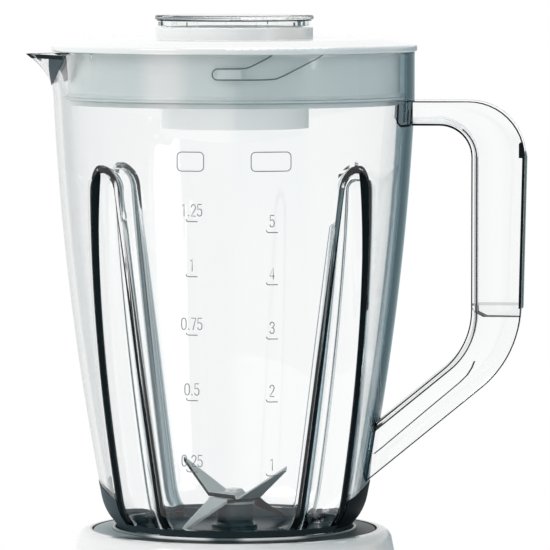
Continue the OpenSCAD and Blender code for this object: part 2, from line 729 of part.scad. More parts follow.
module base_housing() color([0.96, 0.96, 0.95]) {
  boss_top = 40;
  difference() {
    union() {
      rotate_extrude($fn = 180) difference() {
        base_profile(0);
        difference() {
          base_profile(base_wall);
          translate([0, deck_z]) square([recess_r + base_wall, recess_depth + base_wall]);
        }
        translate([-1, recess_floor]) square([recess_r + 1, recess_depth + 1]);
        // The lower edge is open
        translate([-1, skirt_z - 1]) square([arc_r(base_c, base_arc - base_wall, skirt_z) + 1, 1.2]);
      }
      // Screw bosses with the ribs that tie them to the wall
      intersection() {
        around(4, 45) {
          translate([base_screw_r, 0, plate_top]) cylinder(r = screw_boss_r, h = boss_top - plate_top);
          translate([base_screw_r, -1.2, plate_top]) cube([30, 2.4, boss_top - plate_top - 4]);
        }
        rotate_extrude($fn = 180) base_profile(1);
      }
      // Round pad behind the knob and its flat seat for the switch inside
      intersection() {
        at_knob() translate([0, 0, -pad_in - 14]) cylinder(r = pad_r, h = pad_in + 14 + pad_out);
        difference() {
          translate([0, 0, plate_top])
            cylinder(r = 2 * shoulder_r, h = seat_z - 2 * shoulder_drop - plate_top);
          rotate_extrude($fn = 180) base_profile(base_wall);
        }
      }
      at_knob() translate([0, 0, -pad_in]) cylinder(r = nut_r + 3, h = pad_in);
      // Flat boss round the cord inlet
      intersection() {
        at_inlet() translate([0, 0, -8]) cylinder(r = inlet_boss_r, h = 8);
        difference() {
          translate([0, 0, skirt_z]) cylinder(r = 2 * shoulder_r, h = knob_z - skirt_z);
          rotate_extrude($fn = 180) base_profile(base_wall);
        }
      }
      // Bosses that carry the motor's dampers
      at_corners([damper_at, damper_at])
        translate([0, 0, deck_z - boss_l]) cylinder(r = 5, h = boss_l + 0.5);
    }
    around(4, 45) translate([base_screw_r, 0, plate_top - 1]) cylinder(r = screw_r + set_fit, h = 16);
    at_knob() translate([0, 0, -30]) cylinder(r = bushing_r + set_fit, h = 40);
    at_inlet() translate([0, 0, -20]) cylinder(r = inlet_body_r + set_fit, h = 30);
    translate([0, 0, deck_z - 1]) cylinder(r = deck_hole_r, h = base_wall + 2);
    tube(cushion_r + set_fit, cushion_r - cushion_w - set_fit, recess_floor - cushion_groove,
      recess_floor + 1);
    at_corners([damper_at, damper_at])
      translate([0, 0, deck_z - boss_l - 1]) cylinder(r = bracket_screw_r + set_fit, h = boss_l + 1.6);
  }
}

module base_plate() color([0.3, 0.3, 0.31]) {
  shroud_r = fan_r + 2;
  difference() {
    union() {
      translate([0, 0, plate_z]) cylinder(r = plate_r, h = plate_t);
      tube(shroud_r + 2, shroud_r, plate_top - 0.5, plate_top + 10);
    }
    translate([0, 0, plate_z - 1])
      tube(foot_ring_r + set_fit, foot_ring_r - foot_ring_w - set_fit, 0, 1 + foot_groove);
    // Air in below the fan, and out round the motor
    around(vent_count) translate([9, -vent_w / 2, plate_z - 1]) cube([fan_r - 12, vent_w, plate_t + 2]);
    around(vent_count) translate([shroud_r + 5, -vent_w / 2, plate_z - 1]) cube([14, vent_w, plate_t + 2]);
    around(4, 45) translate([base_screw_r, 0, plate_z - 1]) {
      cylinder(r = screw_r + gap, h = plate_t + 2);
      cylinder(r = 2 * screw_r + gap, h = 1 + 1.6);
    }
  }
}

module foot_ring() color([0.12, 0.12, 0.12])
  tube(foot_ring_r, foot_ring_r - foot_ring_w, 0, plate_z + foot_groove);

module base_screws() color([0.7, 0.7, 0.72]) around(4, 45) translate([base_screw_r, 0, plate_z]) {
  difference() {
    cylinder(r = 2 * screw_r, h = 1.6);
    translate([-2, -0.4, -1]) cube([4, 0.8, 1.8]);
    translate([-0.4, -2, -1]) cube([0.8, 4, 1.8]);
  }
  cylinder(r = screw_r, h = 14);
}

module cord_bushing() color([0.14, 0.14, 0.14]) at_inlet() {
  difference() {
    union() {
      rotate_extrude() rounded([[0, 0], [inlet_boss_r - 1.5, 0], [inlet_boss_r - 1.5, 2], [0, 2]],
        [0, 0, 1, 0]);
      translate([0, 0, -9]) cylinder(r = inlet_body_r, h = 9.5);
    }
    translate([0, 0, -20]) cylinder(r = inlet_bore_r, h = 30);
  }
}

module seat_cushion() color([0.15, 0.16, 0.17])
  tube(cushion_r, cushion_r - cushion_w, recess_floor - cushion_groove, recess_floor);

module deck_seal() color([0.1, 0.1, 0.1]) {
  tube(deck_hole_r - set_fit, motor_shaft_r + gap, deck_z, recess_floor);
  tube(motor_shaft_r + gap + 2, motor_shaft_r + gap, recess_floor - 0.1, recess_floor + 0.8);
}

// ---- switch ----

module knob_bezel() color([0.75, 0.77, 0.78]) at_knob() rotate_extrude() translate([0, pad_out])
  rounded([[nut_r + 1, 0], [pad_r - 1, 0], [pad_r - 1, bezel_t], [nut_r + 1, bezel_t]], [0, 0, 0.7, 0]);

module rotary_switch() color([0.2, 0.2, 0.2]) at_knob() {
  difference() {
    union() {
      translate([-switch_w / 2, -switch_w / 2, -pad_in - switch_l]) cube([switch_w, switch_w, switch_l]);
      translate([0, 0, -pad_in - 0.5]) cylinder(r = bushing_r, h = pad_in + 0.5 + pad_out + nut_t + 1);
    }
    translate([0, 0, -pad_in - 10]) cylinder(r = switch_shaft_r + running_fit, h = 40);
  }
}

module switch_nut() color([0.7, 0.7, 0.72]) at_knob() translate([0, 0, pad_out]) difference() {
  cylinder(r = nut_r, h = nut_t, $fn = 6);
  translate([0, 0, -1]) cylinder(r = bushing_r + set_fit, h = nut_t + 2);
}

module switch_shaft() color([0.6, 0.6, 0.62]) at_knob() difference() {
  translate([0, 0, -pad_in - 9.5]) cylinder(r = switch_shaft_r, h = pad_in + 9.5 + knob_low + knob_h - 4);
  translate([switch_shaft_r - 0.8, -5, knob_low + 4]) cube([5, 10, knob_h]);
}

// A round knob with a raised grip bar across its face, over a hollow that clears the nut.
module control_knob() color([0.9, 0.91, 0.91]) at_knob() translate([0, 0, knob_low]) {
  disc_h = knob_h * 0.45;
  difference() {
    union() {
      rotate_extrude() rounded([[0, 0], [knob_r, 0], [knob_r - 1, disc_h], [0, disc_h]], [0, 0, 1.5, 0]);
      intersection() {
        translate([-4.5, -knob_r, disc_h - 1]) cube([9, 2 * knob_r, knob_h - disc_h + 1]);
        rotate_extrude()
          rounded([[0, 0], [knob_r - 3, 0], [knob_r - 4.5, knob_h], [0, knob_h]], [0, 0, 2, 0]);
      }
    }
    translate([0, 0, -1]) cylinder(r = nut_r + 1.5, h = nut_t + 3);
    difference() {
      translate([0, 0, -1]) cylinder(r = switch_shaft_r + set_fit, h = knob_h - 3);
      translate([switch_shaft_r - 0.8 + set_fit, -5, 4 - set_fit]) cube([5, 10, knob_h]);
    }
  }
}

// ---- motor, fixed parts ----

module motor_dampers() color([0.1, 0.1, 0.1]) at_corners([damper_at, damper_at])
  tube(6.5, bracket_screw_r + set_fit, bracket_top, bracket_top + damper_t);

module bracket_screws() color([0.7, 0.7, 0.72]) at_corners([damper_at, damper_at]) {
  translate([0, 0, bracket_top - bracket_t - 2.6]) cylinder(r = 3.6, h = 2.6);
  translate([0, 0, bracket_top - bracket_t - 0.5])
    cylinder(r = bracket_screw_r, h = bracket_t + damper_t + boss_l + 0.5);
}

// A bracket plate with air windows, a cup for the bearing and posts for the motor's bolts.
module bracket_plate() linear_extrude(bracket_t) difference() {
  children();
  around(4, 45) intersection() {
    difference() {
      circle(r = 25);
      circle(r = bearing_r + 5);
    }
    translate([0, -8]) square([40, 16]);
  }
}

module upper_bracket() color([0.65, 0.66, 0.68]) {
  plate_low = bracket_top - bracket_t;
  difference() {
    union() {
      translate([0, 0, plate_low]) bracket_plate()
        rounded_rect(2 * damper_at + 14, 2 * damper_at + 14, 9);
      translate([0, 0, upper_bearing_z - 1]) cylinder(r = bearing_r + 2, h = bearing_h + 1.5);
      at_corners(bolt_at) translate([0, 0, stack_top])
        cylinder(r = bolt_r + 2, h = plate_low - stack_top + 0.5);
    }
    translate([0, 0, upper_bearing_z - 2]) cylinder(r = bearing_r - 2, h = bearing_h + 20);
    translate([0, 0, upper_bearing_z]) cylinder(r = bearing_r + set_fit, h = bearing_h + 20);
    at_corners(bolt_at) cylinder(r = bolt_r + set_fit, h = seat_z);
    at_corners([damper_at, damper_at]) cylinder(r = bracket_screw_r + set_fit, h = seat_z);
  }
}

module lower_bracket() color([0.65, 0.66, 0.68]) {
  difference() {
    union() {
      translate([0, 0, lower_plate_z]) bracket_plate() rounded_rect(stator_w, stator_d, 8);
      translate([0, 0, lower_cup_z]) cylinder(r = bearing_r + 2, h = bearing_h + 1);
      at_corners(bolt_at) translate([0, 0, lower_plate_z])
        cylinder(r = bolt_r + 2, h = stack_z - lower_plate_z);
    }
    translate([0, 0, lower_cup_z - 1]) cylinder(r = bearing_r - 2, h = bearing_h + 20);
    translate([0, 0, lower_bearing_z]) cylinder(r = bearing_r + set_fit, h = bearing_h + 20);
    at_corners(bolt_at) translate([0, 0, lower_cup_z]) cylinder(r = bolt_r + set_fit, h = seat_z);
  }
}

module ball_bearing(z) tube(bearing_r, motor_shaft_r + running_fit, z, z + bearing_h);

module upper_bearing() color([0.8, 0.8, 0.82]) ball_bearing(upper_bearing_z);

module lower_bearing() color([0.8, 0.8, 0.82]) ball_bearing(lower_bearing_z);

module motor_bolts() color([0.7, 0.7, 0.72]) at_corners(bolt_at) {
  translate([0, 0, lower_plate_z - 2.4]) cylinder(r = bolt_r + 1.5, h = 2.4);
  translate([0, 0, lower_plate_z - 0.5]) cylinder(r = bolt_r, h = bracket_top - lower_plate_z);
}

module stator_core() color([0.45, 0.46, 0.48]) translate([0, 0, stack_z]) linear_extrude(stack_l)
  difference() {
    rounded_rect(stator_w, stator_d, 10);
    circle(r = rotor_r + 0.5);
    around(4, 45) difference() {
      intersection() {
        circle(r = coil_out + set_fit);
        translate([10, -coil_w / 2 - set_fit]) square([30, coil_w + 2 * set_fit]);
      }
      circle(r = coil_in - set_fit);
    }
    at_corners(bolt_at) circle(r = bolt_r + set_fit);
  }

// Each field coil fills two slots of the stator and turns back round the pole above and below.
module field_coils() color([0.75, 0.42, 0.2]) {
  for (side = [0, 180]) rotate([0, 0, side]) {
    for (a = [45, 135]) rotate([0, 0, a]) intersection() {
      tube(coil_out, coil_in, stack_z - 2, stack_top + 2);
      translate([10, -coil_w / 2, 0]) cube([30, coil_w, seat_z]);
    }
    for (z = [stack_z - end_turn, stack_top + 0.4]) translate([0, 0, z])
      rotate([0, 0, 40]) rotate_extrude(angle = 100)
        translate([coil_in + 0.3, 0]) square([coil_out - coil_in - 0.6, end_turn - 0.4]);
  }
}

module brush_holders() color([0.55, 0.42, 0.2]) around(2) translate([0, 0, lower_plate_z + bracket_t])
  difference() {
    translate([bearing_r + 2.5, -brush_w / 2 - 2, 0])
      cube([brush_l + 1, brush_w + 4, commutator_z + commutator_h - lower_plate_z - bracket_t]);
    translate([0, -brush_w / 2 - set_fit, brush_up - set_fit])
      cube([3 * brush_l, brush_w + 2 * set_fit, brush_w + 2 * set_fit]);
  }

module carbon_brushes() color([0.12, 0.12, 0.13]) around(2)
  translate([commutator_r + 0.35, -brush_w / 2, lower_plate_z + bracket_t + brush_up])
    cube([brush_l, brush_w, brush_w]);

// ---- motor, turning parts ----

module motor_shaft() color([0.75, 0.76, 0.78]) translate([0, 0, fan_z])
  cylinder(r = motor_shaft_r, h = socket_z - 0.2 - fan_z);

module rotor_core() color([0.5, 0.51, 0.53]) translate([0, 0, stack_z]) linear_extrude(stack_l)
  difference() {
    circle(r = rotor_r);
    circle(r = motor_shaft_r + set_fit);
    around(12) translate([rotor_r - 9, -1.2]) square([12, 2.4]);
  }

module rotor_windings() color([0.75, 0.42, 0.2]) for (z = [stack_z - end_turn, stack_top])
  translate([0, 0, z]) rotate_extrude()
    rounded([[motor_shaft_r + set_fit, 0], [rotor_r - 2, 0], [rotor_r - 2, end_turn],
      [motor_shaft_r + set_fit, end_turn]], [0, 2.2, 2.2, 0]);

module commutator() color([0.8, 0.5, 0.25]) translate([0, 0, commutator_z]) linear_extrude(commutator_h)
  difference() {
    circle(r = commutator_r);
    circle(r = motor_shaft_r + set_fit);
    around(12, 15) translate([commutator_r - 2, -0.25]) square([4, 0.5]);
  }

module cooling_fan() color([0.2, 0.2, 0.21]) translate([0, 0, fan_z]) difference() {
  union() {
    cylinder(r = motor_shaft_r + 3, h = fan_h);
    translate([0, 0, fan_h - 1.4]) cylinder(r = fan_r, h = 1.4);
    around(fan_blades) translate([motor_shaft_r + 2, 0, 0]) rotate([0, 0, 18])
      cube([fan_r - motor_shaft_r - 4.5, 1.4, fan_h - 1]);
  }
  translate([0, 0, -1]) cylinder(r = motor_shaft_r + set_fit, h = fan_h + 2);
}

module drive_coupling() color([0.15, 0.15, 0.16]) difference() {
  translate([0, 0, drive_z]) cylinder(r = drive_r, h = drive_top - drive_z);
  translate([0, 0, socket_z]) linear_extrude(drive_top - socket_z + 1)
    spline(tooth_count, tooth_root_r, tooth_tip_r, gap);
  translate([0, 0, drive_z - 1]) cylinder(r = motor_shaft_r + set_fit, h = drive_floor_t + 2);
}

base_housing();
base_plate();
foot_ring();
base_screws();
cord_bushing();
seat_cushion();
deck_seal();
knob_bezel();
rotary_switch();
switch_nut();
switch_shaft();
control_knob();
motor_dampers();
bracket_screws();
upper_bracket();
lower_bracket();
upper_bearing();
lower_bearing();
motor_bolts();
stator_core();
field_coils();
brush_holders();
carbon_brushes();
motor_shaft();
rotor_core();
rotor_windings();
commutator();
cooling_fan();
drive_coupling();
jug();
handle_cover();
jug_collar();
blade_holder();
holder_seal();
upper_bush();
lower_bush();
shaft_seal();
blade_shaft();
driven_coupling();
blade_washer();
lower_blade();
upper_blade();
blade_rivet();
lid();
lid_seal();
measuring_cap();
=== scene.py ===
import math

import bpy
from mathutils import Matrix, Vector


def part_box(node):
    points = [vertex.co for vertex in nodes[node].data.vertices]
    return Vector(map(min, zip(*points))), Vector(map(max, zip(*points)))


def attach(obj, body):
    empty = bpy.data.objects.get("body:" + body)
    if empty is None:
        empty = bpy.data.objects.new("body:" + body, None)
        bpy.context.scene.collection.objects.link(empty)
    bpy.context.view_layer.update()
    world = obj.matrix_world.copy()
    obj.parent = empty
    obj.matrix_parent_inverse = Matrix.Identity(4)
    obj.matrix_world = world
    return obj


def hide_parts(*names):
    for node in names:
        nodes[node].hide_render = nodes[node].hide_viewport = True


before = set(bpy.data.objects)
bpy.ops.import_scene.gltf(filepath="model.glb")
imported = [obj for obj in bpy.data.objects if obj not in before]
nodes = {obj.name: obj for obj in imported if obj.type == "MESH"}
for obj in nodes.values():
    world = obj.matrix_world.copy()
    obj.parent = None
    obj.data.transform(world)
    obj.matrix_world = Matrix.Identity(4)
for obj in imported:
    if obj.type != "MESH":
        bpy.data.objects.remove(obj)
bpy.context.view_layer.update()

bpy.ops.object.select_all(action="DESELECT")


# Motor base housing: one injection moulding in glossy white plastic, open below.
# Its shoulder carries the jug, its recess is painted black as shadow, and the wall flares down to the table.
# Its shoulder's right side is painted grey as shade. The CAD node is kept as it is and gets its finish here.
class Flow:
    """An output of a shader tree. Sums and products of values add Math nodes."""

    def __init__(self, tree, socket=None):
        self.tree, self.socket = tree, socket

    def node(self, kind, settings=None, inputs=None, out=0):
        """Adds a node: its settings first, then the values or links of its sockets."""
        made = self.tree.nodes.new("ShaderNode" + kind)
        for name, value in (settings or {}).items():
            if name == "stops":
                while len(made.color_ramp.elements) < len(value):
                    made.color_ramp.elements.new(0.5)
                for element, (place, shade) in zip(made.color_ramp.elements, value):
                    element.position, element.color = place, (*shade, 1)
            else:
                setattr(made, name, value)
        for name, value in (inputs or {}).items():
            if isinstance(value, Flow):
                self.tree.links.new(value.socket, made.inputs[name])
            else:
                made.inputs[name].default_value = value
        return Flow(self.tree, made.outputs[out])

    def maths(self, operation, first, second=0.0):
        return self.node("Math", {"operation": operation}, {0: first, 1: second})

    def __add__(self, other):
        return self.maths("ADD", self, other)

    def __sub__(self, other):
        return self.maths("SUBTRACT", self, other)

    def __rsub__(self, other):
        return self.maths("SUBTRACT", other, self)

    def __mul__(self, other):
        return self.maths("MULTIPLY", self, other)

    __radd__, __rmul__ = __add__, __mul__

    def smooth(self, low, high):
        """0 at low, 1 at high, and smooth between them."""
        return self.node("MapRange", {"interpolation_type": "SMOOTHSTEP"},
                         {"Value": self, "From Min": low, "From Max": high})

    def mix(self, one, other):
        """A colour: one where this value is 0, other where it is 1."""
        def four(shade):
            return shade if isinstance(shade, Flow) else (*shade, 1)
        return self.node("Mix", {"data_type": "RGBA"}, {0: self, 6: four(one), 7: four(other)}, 2)


def blank(name):
    """A new material with its Principled shader, as (material, flow, shader)."""
    material = bpy.data.materials.new(name)
    material.use_nodes = True
    return material, Flow(material.node_tree), material.node_tree.nodes["Principled BSDF"]


def link(shader, **sockets):
    """Sets a shader's sockets by name, with _ for a blank: a value or a flow."""
    for name, value in sockets.items():
        socket = shader.inputs[name.replace("_", " ")]
        if isinstance(value, Flow):
            value.tree.links.new(value.socket, socket)
        else:
            socket.default_value = value


def on_piece(flow):
    """Object coordinates, which stay with a piece as it moves."""
    return flow.node("TexCoord", out="Object")


def noise(flow, place, scale, detail=3.0, rough=0.5):
    return flow.node("TexNoise", None,
                     {"Vector": place, "Scale": scale, "Detail": detail, "Roughness": rough})


def bump(flow, height, distance, strength=1.0):
    return flow.node("Bump", None, {"Height": height, "Distance": distance, "Strength": strength})


def parts_of(flow):
    """Object coordinates as x, y, z and the distance from the axis."""
    place = on_piece(flow)
    x, y, z = (flow.node("SeparateXYZ", None, {0: place}, axis) for axis in "XYZ")
    flat = flow.node("CombineXYZ", None, {0: x, 1: y})
    return x, y, z, flow.node("VectorMath", {"operation": "LENGTH"}, {0: flat}, "Value")


def dress(names, material):
    """Gives CAD nodes a material."""
    for name in names:
        nodes[name].data.materials.clear()
        nodes[name].data.materials.append(material)


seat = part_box("base_housing")[1].z
SHOULDER_R, RECESS_R, RECESS_DEEP = 0.0645, 0.0573, 0.030
GLOSS_WHITE, SHOULDER_PAINTED_SHADE, RECESS_PAINTED_SHADOW = (0.80, 0.815, 0.815), (0.66, 0.72, 0.73), (0.012, 0.018, 0.02)
material, flow, shader = blank("white_gloss_plastic")
x, y, z, radius = parts_of(flow)
# Painted shade: grey on the shoulder's right side, and black in the recess.
shoulder = radius.smooth(SHOULDER_R, SHOULDER_R - 0.0025) * z.smooth(seat - 0.004, seat - 0.002)
shade = (shoulder * x.smooth(-0.01, 0.05)).mix(GLOSS_WHITE, SHOULDER_PAINTED_SHADE)
recess = radius.smooth(RECESS_R, RECESS_R - 0.0004) * z.smooth(seat - RECESS_DEEP, seat - RECESS_DEEP + 0.002)
fine = noise(flow, on_piece(flow), 900, 4, 0.6)
link(shader, Base_Color=recess.mix(shade, RECESS_PAINTED_SHADOW), Roughness=0.14 + 0.04 * fine, Coat_Weight=0.5,
     Coat_Roughness=0.08, Normal=bump(flow, fine, 0.00001))
dress(["base_housing"], material)


# Base plate, foot ring, cord bushing, seals and screws: what closes and fixes the base.
# The plate is textured grey plastic, and the foot ring, the bushing, the cushion, the dampers and
# the seals are soft black rubber. The screws are zinc plated steel.
def moulded(name, shade, rough, grain=900, depth=0.00002, coat=0.0, tone=0.04):
    """Moulded plastic: nearly even colour, a soft waviness of the tool and a fine grain."""
    material, flow, shader = blank(name)
    place = on_piece(flow)
    wave = noise(flow, place, 35, 2)
    fine = noise(flow, place, grain, 4, 0.6)
    pale = [min(1, c * (1 + tone)) for c in shade]
    dull = [c * (1 - tone) for c in shade]
    link(shader, Base_Color=wave.mix(dull, pale), Roughness=rough * (0.85 + 0.3 * fine),
         Normal=bump(flow, wave * 0.7 + fine * 0.3, depth), Coat_Weight=coat, Coat_Roughness=0.08)
    return material


def ground_steel(name, shade, rough, lines, stretch=(1, 1, 30), depth=0.00001, metallic=1.0):
    """Steel with fine lines: noise stretched along the way it was ground or drawn."""
    material, flow, shader = blank(name)
    place = on_piece(flow)
    along = flow.node("Mapping", None, {"Vector": place, "Scale": stretch})
    streak = noise(flow, along, lines, 5, 0.65)
    cloud = noise(flow, place, 60, 2)
    link(shader, Metallic=metallic, Base_Color=cloud.mix([0.86 * c for c in shade], shade),
         Roughness=rough * (0.7 + 0.6 * streak), Normal=bump(flow, streak, depth),
         Specular_IOR_Level=0.5 if metallic else 0.03)
    return material


dress(["base_plate"],
      moulded("textured_grey_plastic", (0.075, 0.078, 0.082), rough=0.55, grain=420, depth=0.00012))
rubber = moulded("soft_black_rubber", (0.022, 0.022, 0.023), rough=0.75, grain=1500, depth=0.00006, tone=0.15)
dress(["foot_ring", "cord_bushing", "seat_cushion", "deck_seal", "motor_dampers", "holder_seal",
       "shaft_seal"], rubber)
plated = ground_steel("zinc_plated_steel", (0.60, 0.61, 0.63), rough=0.32, lines=500)
dress(["base_screws", "switch_nut", "bracket_screws", "motor_bolts"], plated)

# Rotary switch on the front wall: a smoke grey bezel plate, a white knob with a grip bar on a
# steel shaft, and the switch itself behind the wall in black plastic.
dress(["knob_bezel"], moulded("smoke_bezel_plastic", (0.42, 0.45, 0.46), rough=0.2, coat=0.5))
dress(["control_knob"], moulded("knob_plastic", (0.74, 0.755, 0.755), rough=0.22, coat=0.4, tone=0.015))
black_plastic = moulded("black_plastic", (0.03, 0.03, 0.032), rough=0.42, grain=600, depth=0.00005)
dress(["rotary_switch", "cooling_fan"], black_plastic)
shaft_steel = ground_steel("turned_shaft_steel", (0.62, 0.63, 0.65), rough=0.22, lines=900)
dress(["switch_shaft", "motor_shaft"], shaft_steel)


# Motor: die cast brackets, steel bearings, a stack of sheet for stator and rotor, copper coils,
# bronze brush holders with carbon brushes, and the toothed coupling in black plastic.
def banded(name, shade, rough, pitch, depth, metallic=1.0):
    """Sheets in a stack or turns of wire: fine bands that lie level, pitch apart."""
    material, flow, shader = blank(name)
    place = on_piece(flow)
    bands = flow.node("TexWave", {"wave_type": "BANDS", "bands_direction": "Z"},
                      {"Vector": place, "Scale": 0.31 / pitch, "Distortion": 0.4, "Detail": 2.0})
    cloud = noise(flow, place, 90, 3)
    link(shader, Metallic=metallic, Roughness=rough * (0.8 + 0.4 * cloud),
         Base_Color=bands.mix([0.55 * c for c in shade], shade), Normal=bump(flow, bands, depth))
    return material


NO_LINES = (1, 1, 1)
aluminium = ground_steel("die_cast_aluminium", (0.48, 0.49, 0.50), 0.5, 700, NO_LINES, depth=0.00006)
dress(["upper_bracket", "lower_bracket"], aluminium)
bearing_steel = ground_steel("bearing_steel", (0.58, 0.58, 0.60), rough=0.15, lines=1200)
dress(["upper_bearing", "lower_bearing"], bearing_steel)
sheet_stack = banded("stacked_sheet", (0.22, 0.23, 0.25), rough=0.45, pitch=0.0007, depth=0.0001)
dress(["stator_core", "rotor_core"], sheet_stack)
copper_wire = banded("enamelled_copper_wire", (0.62, 0.27, 0.10), rough=0.3, pitch=0.0006, depth=0.0002)
dress(["field_coils", "rotor_windings"], copper_wire)
dress(["commutator"], ground_steel("worn_copper", (0.70, 0.36, 0.18), rough=0.3, lines=500))
bronze = ground_steel("sintered_bronze", (0.50, 0.34, 0.14), 0.45, 1500, NO_LINES, depth=0.00004)
dress(["brush_holders", "upper_bush", "lower_bush"], bronze)
carbon = moulded("pressed_carbon", (0.02, 0.02, 0.02), rough=0.6, grain=1800, depth=0.00005)
dress(["carbon_brushes"], carbon)
coupling_plastic = moulded("coupling_plastic", (0.03, 0.03, 0.03), rough=0.38, grain=500, depth=0.00004)
dress(["drive_coupling", "driven_coupling"], coupling_plastic)

# Jug: one clear moulding with four inward flutes and a pouring spout. Its wall follows a long arc,
# stands upright at the rim and turns in at the bottom. Its outside is lofted from level sections,
# because a smooth shell refracts cleanly, and gets its thickness inwards.
MM = 0.001  # lengths from here on are in mm, and heights are above the seat
JUG_TOP, RIM_RISE, WALL = 187.0, 1.1, 2.8
ARC_R, ARC_MIDDLE, ARC_INSET, UPRIGHT_R = 1100, 222, 1027.7, 71.0
TURN_R, TURN_MIDDLE, TURN_HEIGHT, TURN_TOP = 20, 32.62, 16.8, 13
FOOT_R, FOOT_TOP = 46.4, 1.2
FLUTE_MIDDLES, FLUTE_DEEP = (46.3, 137.9, 226.3, 317.9), 8.0
FLUTE_HALF, FLUTE_TAPER, FLUTE_LOW, FLUTE_RUN, EDGE_LINE, EDGE_WIDE = 12.7, 5.5, 23, 114, 1.75, 4
BACK_TOP, FRONT_TOP, FADE, NARROWEST = 140.0, 142.8, 7.0, 0.16
SPOUT_ROOT, SPOUT_TIP, SPOUT_NOSE, SPOUT_FLANK = 168.0, 83.6, 7.0, math.radians(56.5)
FLUTE_POINTS, WALL_STEPS, SPOUT_STEPS = 24, 26, 48
CLEAR, DARK, GREY, PALE = range(4)


def share(value, first, last):
    """How far value has come on its way from first to last, kept between 0 and 1."""
    return min(1, max(0, (value - first) / (last - first)))


def arc_r(z):
    """Radius of the wall's long arc at height z above the seat, in mm."""
    return math.sqrt(ARC_R ** 2 - (z - ARC_MIDDLE) ** 2) - ARC_INSET


def wall_r(z):
    """Outer radius of the jug at height z, with the turned-in bottom and the foot."""
    if z >= TURN_TOP:
        return min(UPRIGHT_R, arc_r(z))
    turned = TURN_MIDDLE + math.sqrt(max(0, TURN_R ** 2 - (z - TURN_HEIGHT) ** 2))
    return max(FOOT_R, turned)


def flute_section(z):
    """One flute's section at height z, mouth edge to mouth edge: (across, depth) in mm.

    The points lie close together at the mouth edges, whose faces get painted shade.
    """
    half = FLUTE_HALF - FLUTE_TAPER * max(0, (z - FLUTE_LOW) / FLUTE_RUN) ** 2.2
    band, strip = 0.82 + 0.15 * z / BACK_TOP, 0.7 + 2.0 * share(z, BACK_TOP, BACK_TOP / 2)
    near = [0] + [EDGE_LINE + step for step in (-band, -band / 3, band / 3, band)]
    far = [2 * half - EDGE_WIDE, 2 * half - (EDGE_WIDE + strip) / 2, 2 * half - strip, 2 * half]
    even = FLUTE_POINTS - len(near) - len(far) + 1
    across = near + [near[-1] + (far[0] - near[-1]) * i / even for i in range(1, even)] + far
    return [(a - half, FLUTE_DEEP * (0.5 + 0.5 * math.cos(math.pi * min(1, abs(a - half) / half))) ** 0.8)
            for a in across]


def flute_fade(k, z):
    """How far flute k still cuts in at height z: 1 below its top, rounding off to 0."""
    top = BACK_TOP if k % 4 < 2 else FRONT_TOP
    return math.sqrt(1 - share(z, top - FADE, top) ** 2)


def flute_half(k, z):
    """Half of flute k's mouth at height z, in mm."""
    return flute_section(z)[-1][0] * max(NARROWEST, flute_fade(k, z))


def flute_points(k, z):
    """The points of flute k at height z, from one mouth edge to the other."""
    wall, section, fade = wall_r(z), flute_section(z), flute_fade(k, z)
    depth = (wall - arc_r(z) + FLUTE_DEEP) * fade if z > FOOT_TOP else 0
    middle = math.radians(FLUTE_MIDDLES[k])
    out, side = Vector((math.cos(middle), math.sin(middle))), Vector((-math.sin(middle), math.cos(middle)))
    points = []
    for i, (u, v) in enumerate(section if k in (0, 2) else [(-u, v) for u, v in section[::-1]]):
        if not fade:
            u = section[-1][0] * (2 * i / (FLUTE_POINTS - 1) - 1)
        across = max(NARROWEST, fade) * u
        points.append(out * (math.sqrt(wall ** 2 - across ** 2) - v * depth / FLUTE_DEEP) + side * across)
    return points


def spout_r(angle):
    """Radius of the rim at an angle from the spout's middle: a rounded point between two flanks."""
    a = abs(angle)
    side = SPOUT_TIP * math.sin(SPOUT_FLANK) / math.sin(SPOUT_FLANK + a)
    centre = SPOUT_TIP - SPOUT_NOSE / math.sin(SPOUT_FLANK)
    under = SPOUT_NOSE ** 2 - (centre * math.sin(a)) ** 2
    if a < math.radians(4.5) and under > 0:
        side = centre * math.cos(a) + math.sqrt(under)
    wall = wall_r(JUG_TOP)
    blend = 1.2  # rounds the inner corner where a flank meets the rim
    return wall + blend * math.log1p(math.exp(min(60, (side - wall) / blend)))


def spout_out(angle, z):
    """How far the spout stands out from the wall, at an angle from its middle and height z."""
    return (spout_r(angle) - wall_r(JUG_TOP)) * share(z, SPOUT_ROOT, JUG_TOP) ** 2.3


def wall_points(k, z):
    """The points of the plain wall between flute k and the next one, at height z."""
    wall = wall_r(z)
    start = math.radians(FLUTE_MIDDLES[k]) + math.asin(flute_half(k, z) / wall)
    end = math.radians(FLUTE_MIDDLES[(k + 1) % 4] + (360 if k == 3 else 0))
    end -= math.asin(flute_half(k + 1, z) / wall)
    steps = SPOUT_STEPS if k == 1 else WALL_STEPS
    points = []
    for i in range(1, steps):
        angle = start + (end - start) * i / steps
        r = wall + (spout_out(angle - math.pi, z) if k == 1 else 0)
        points.append(Vector((r * math.cos(angle), r * math.sin(angle))))
    return points


def flute_painted_shade(z, i):
    """The finish of the face at height z after point i: the flutes' edges get painted shade."""
    starts = [0]
    for steps in (WALL_STEPS, SPOUT_STEPS, WALL_STEPS):
        starts.append(starts[-1] + FLUTE_POINTS + steps - 1)
    k = max(n for n in range(4) if starts[n] <= i)
    j, last = i - starts[k], FLUTE_POINTS - 2
    top = BACK_TOP if k < 2 else FRONT_TOP
    if j > last or z >= top:
        return CLEAR
    if k in (1, 3):
        j = last - j
    if k < 2:
        return GREY if j > last - 4 or z > top - 1.2 else PALE if j > last - 8 else CLEAR
    return DARK if j in (1, 2, 3, last) or z > top - 1.2 else CLEAR


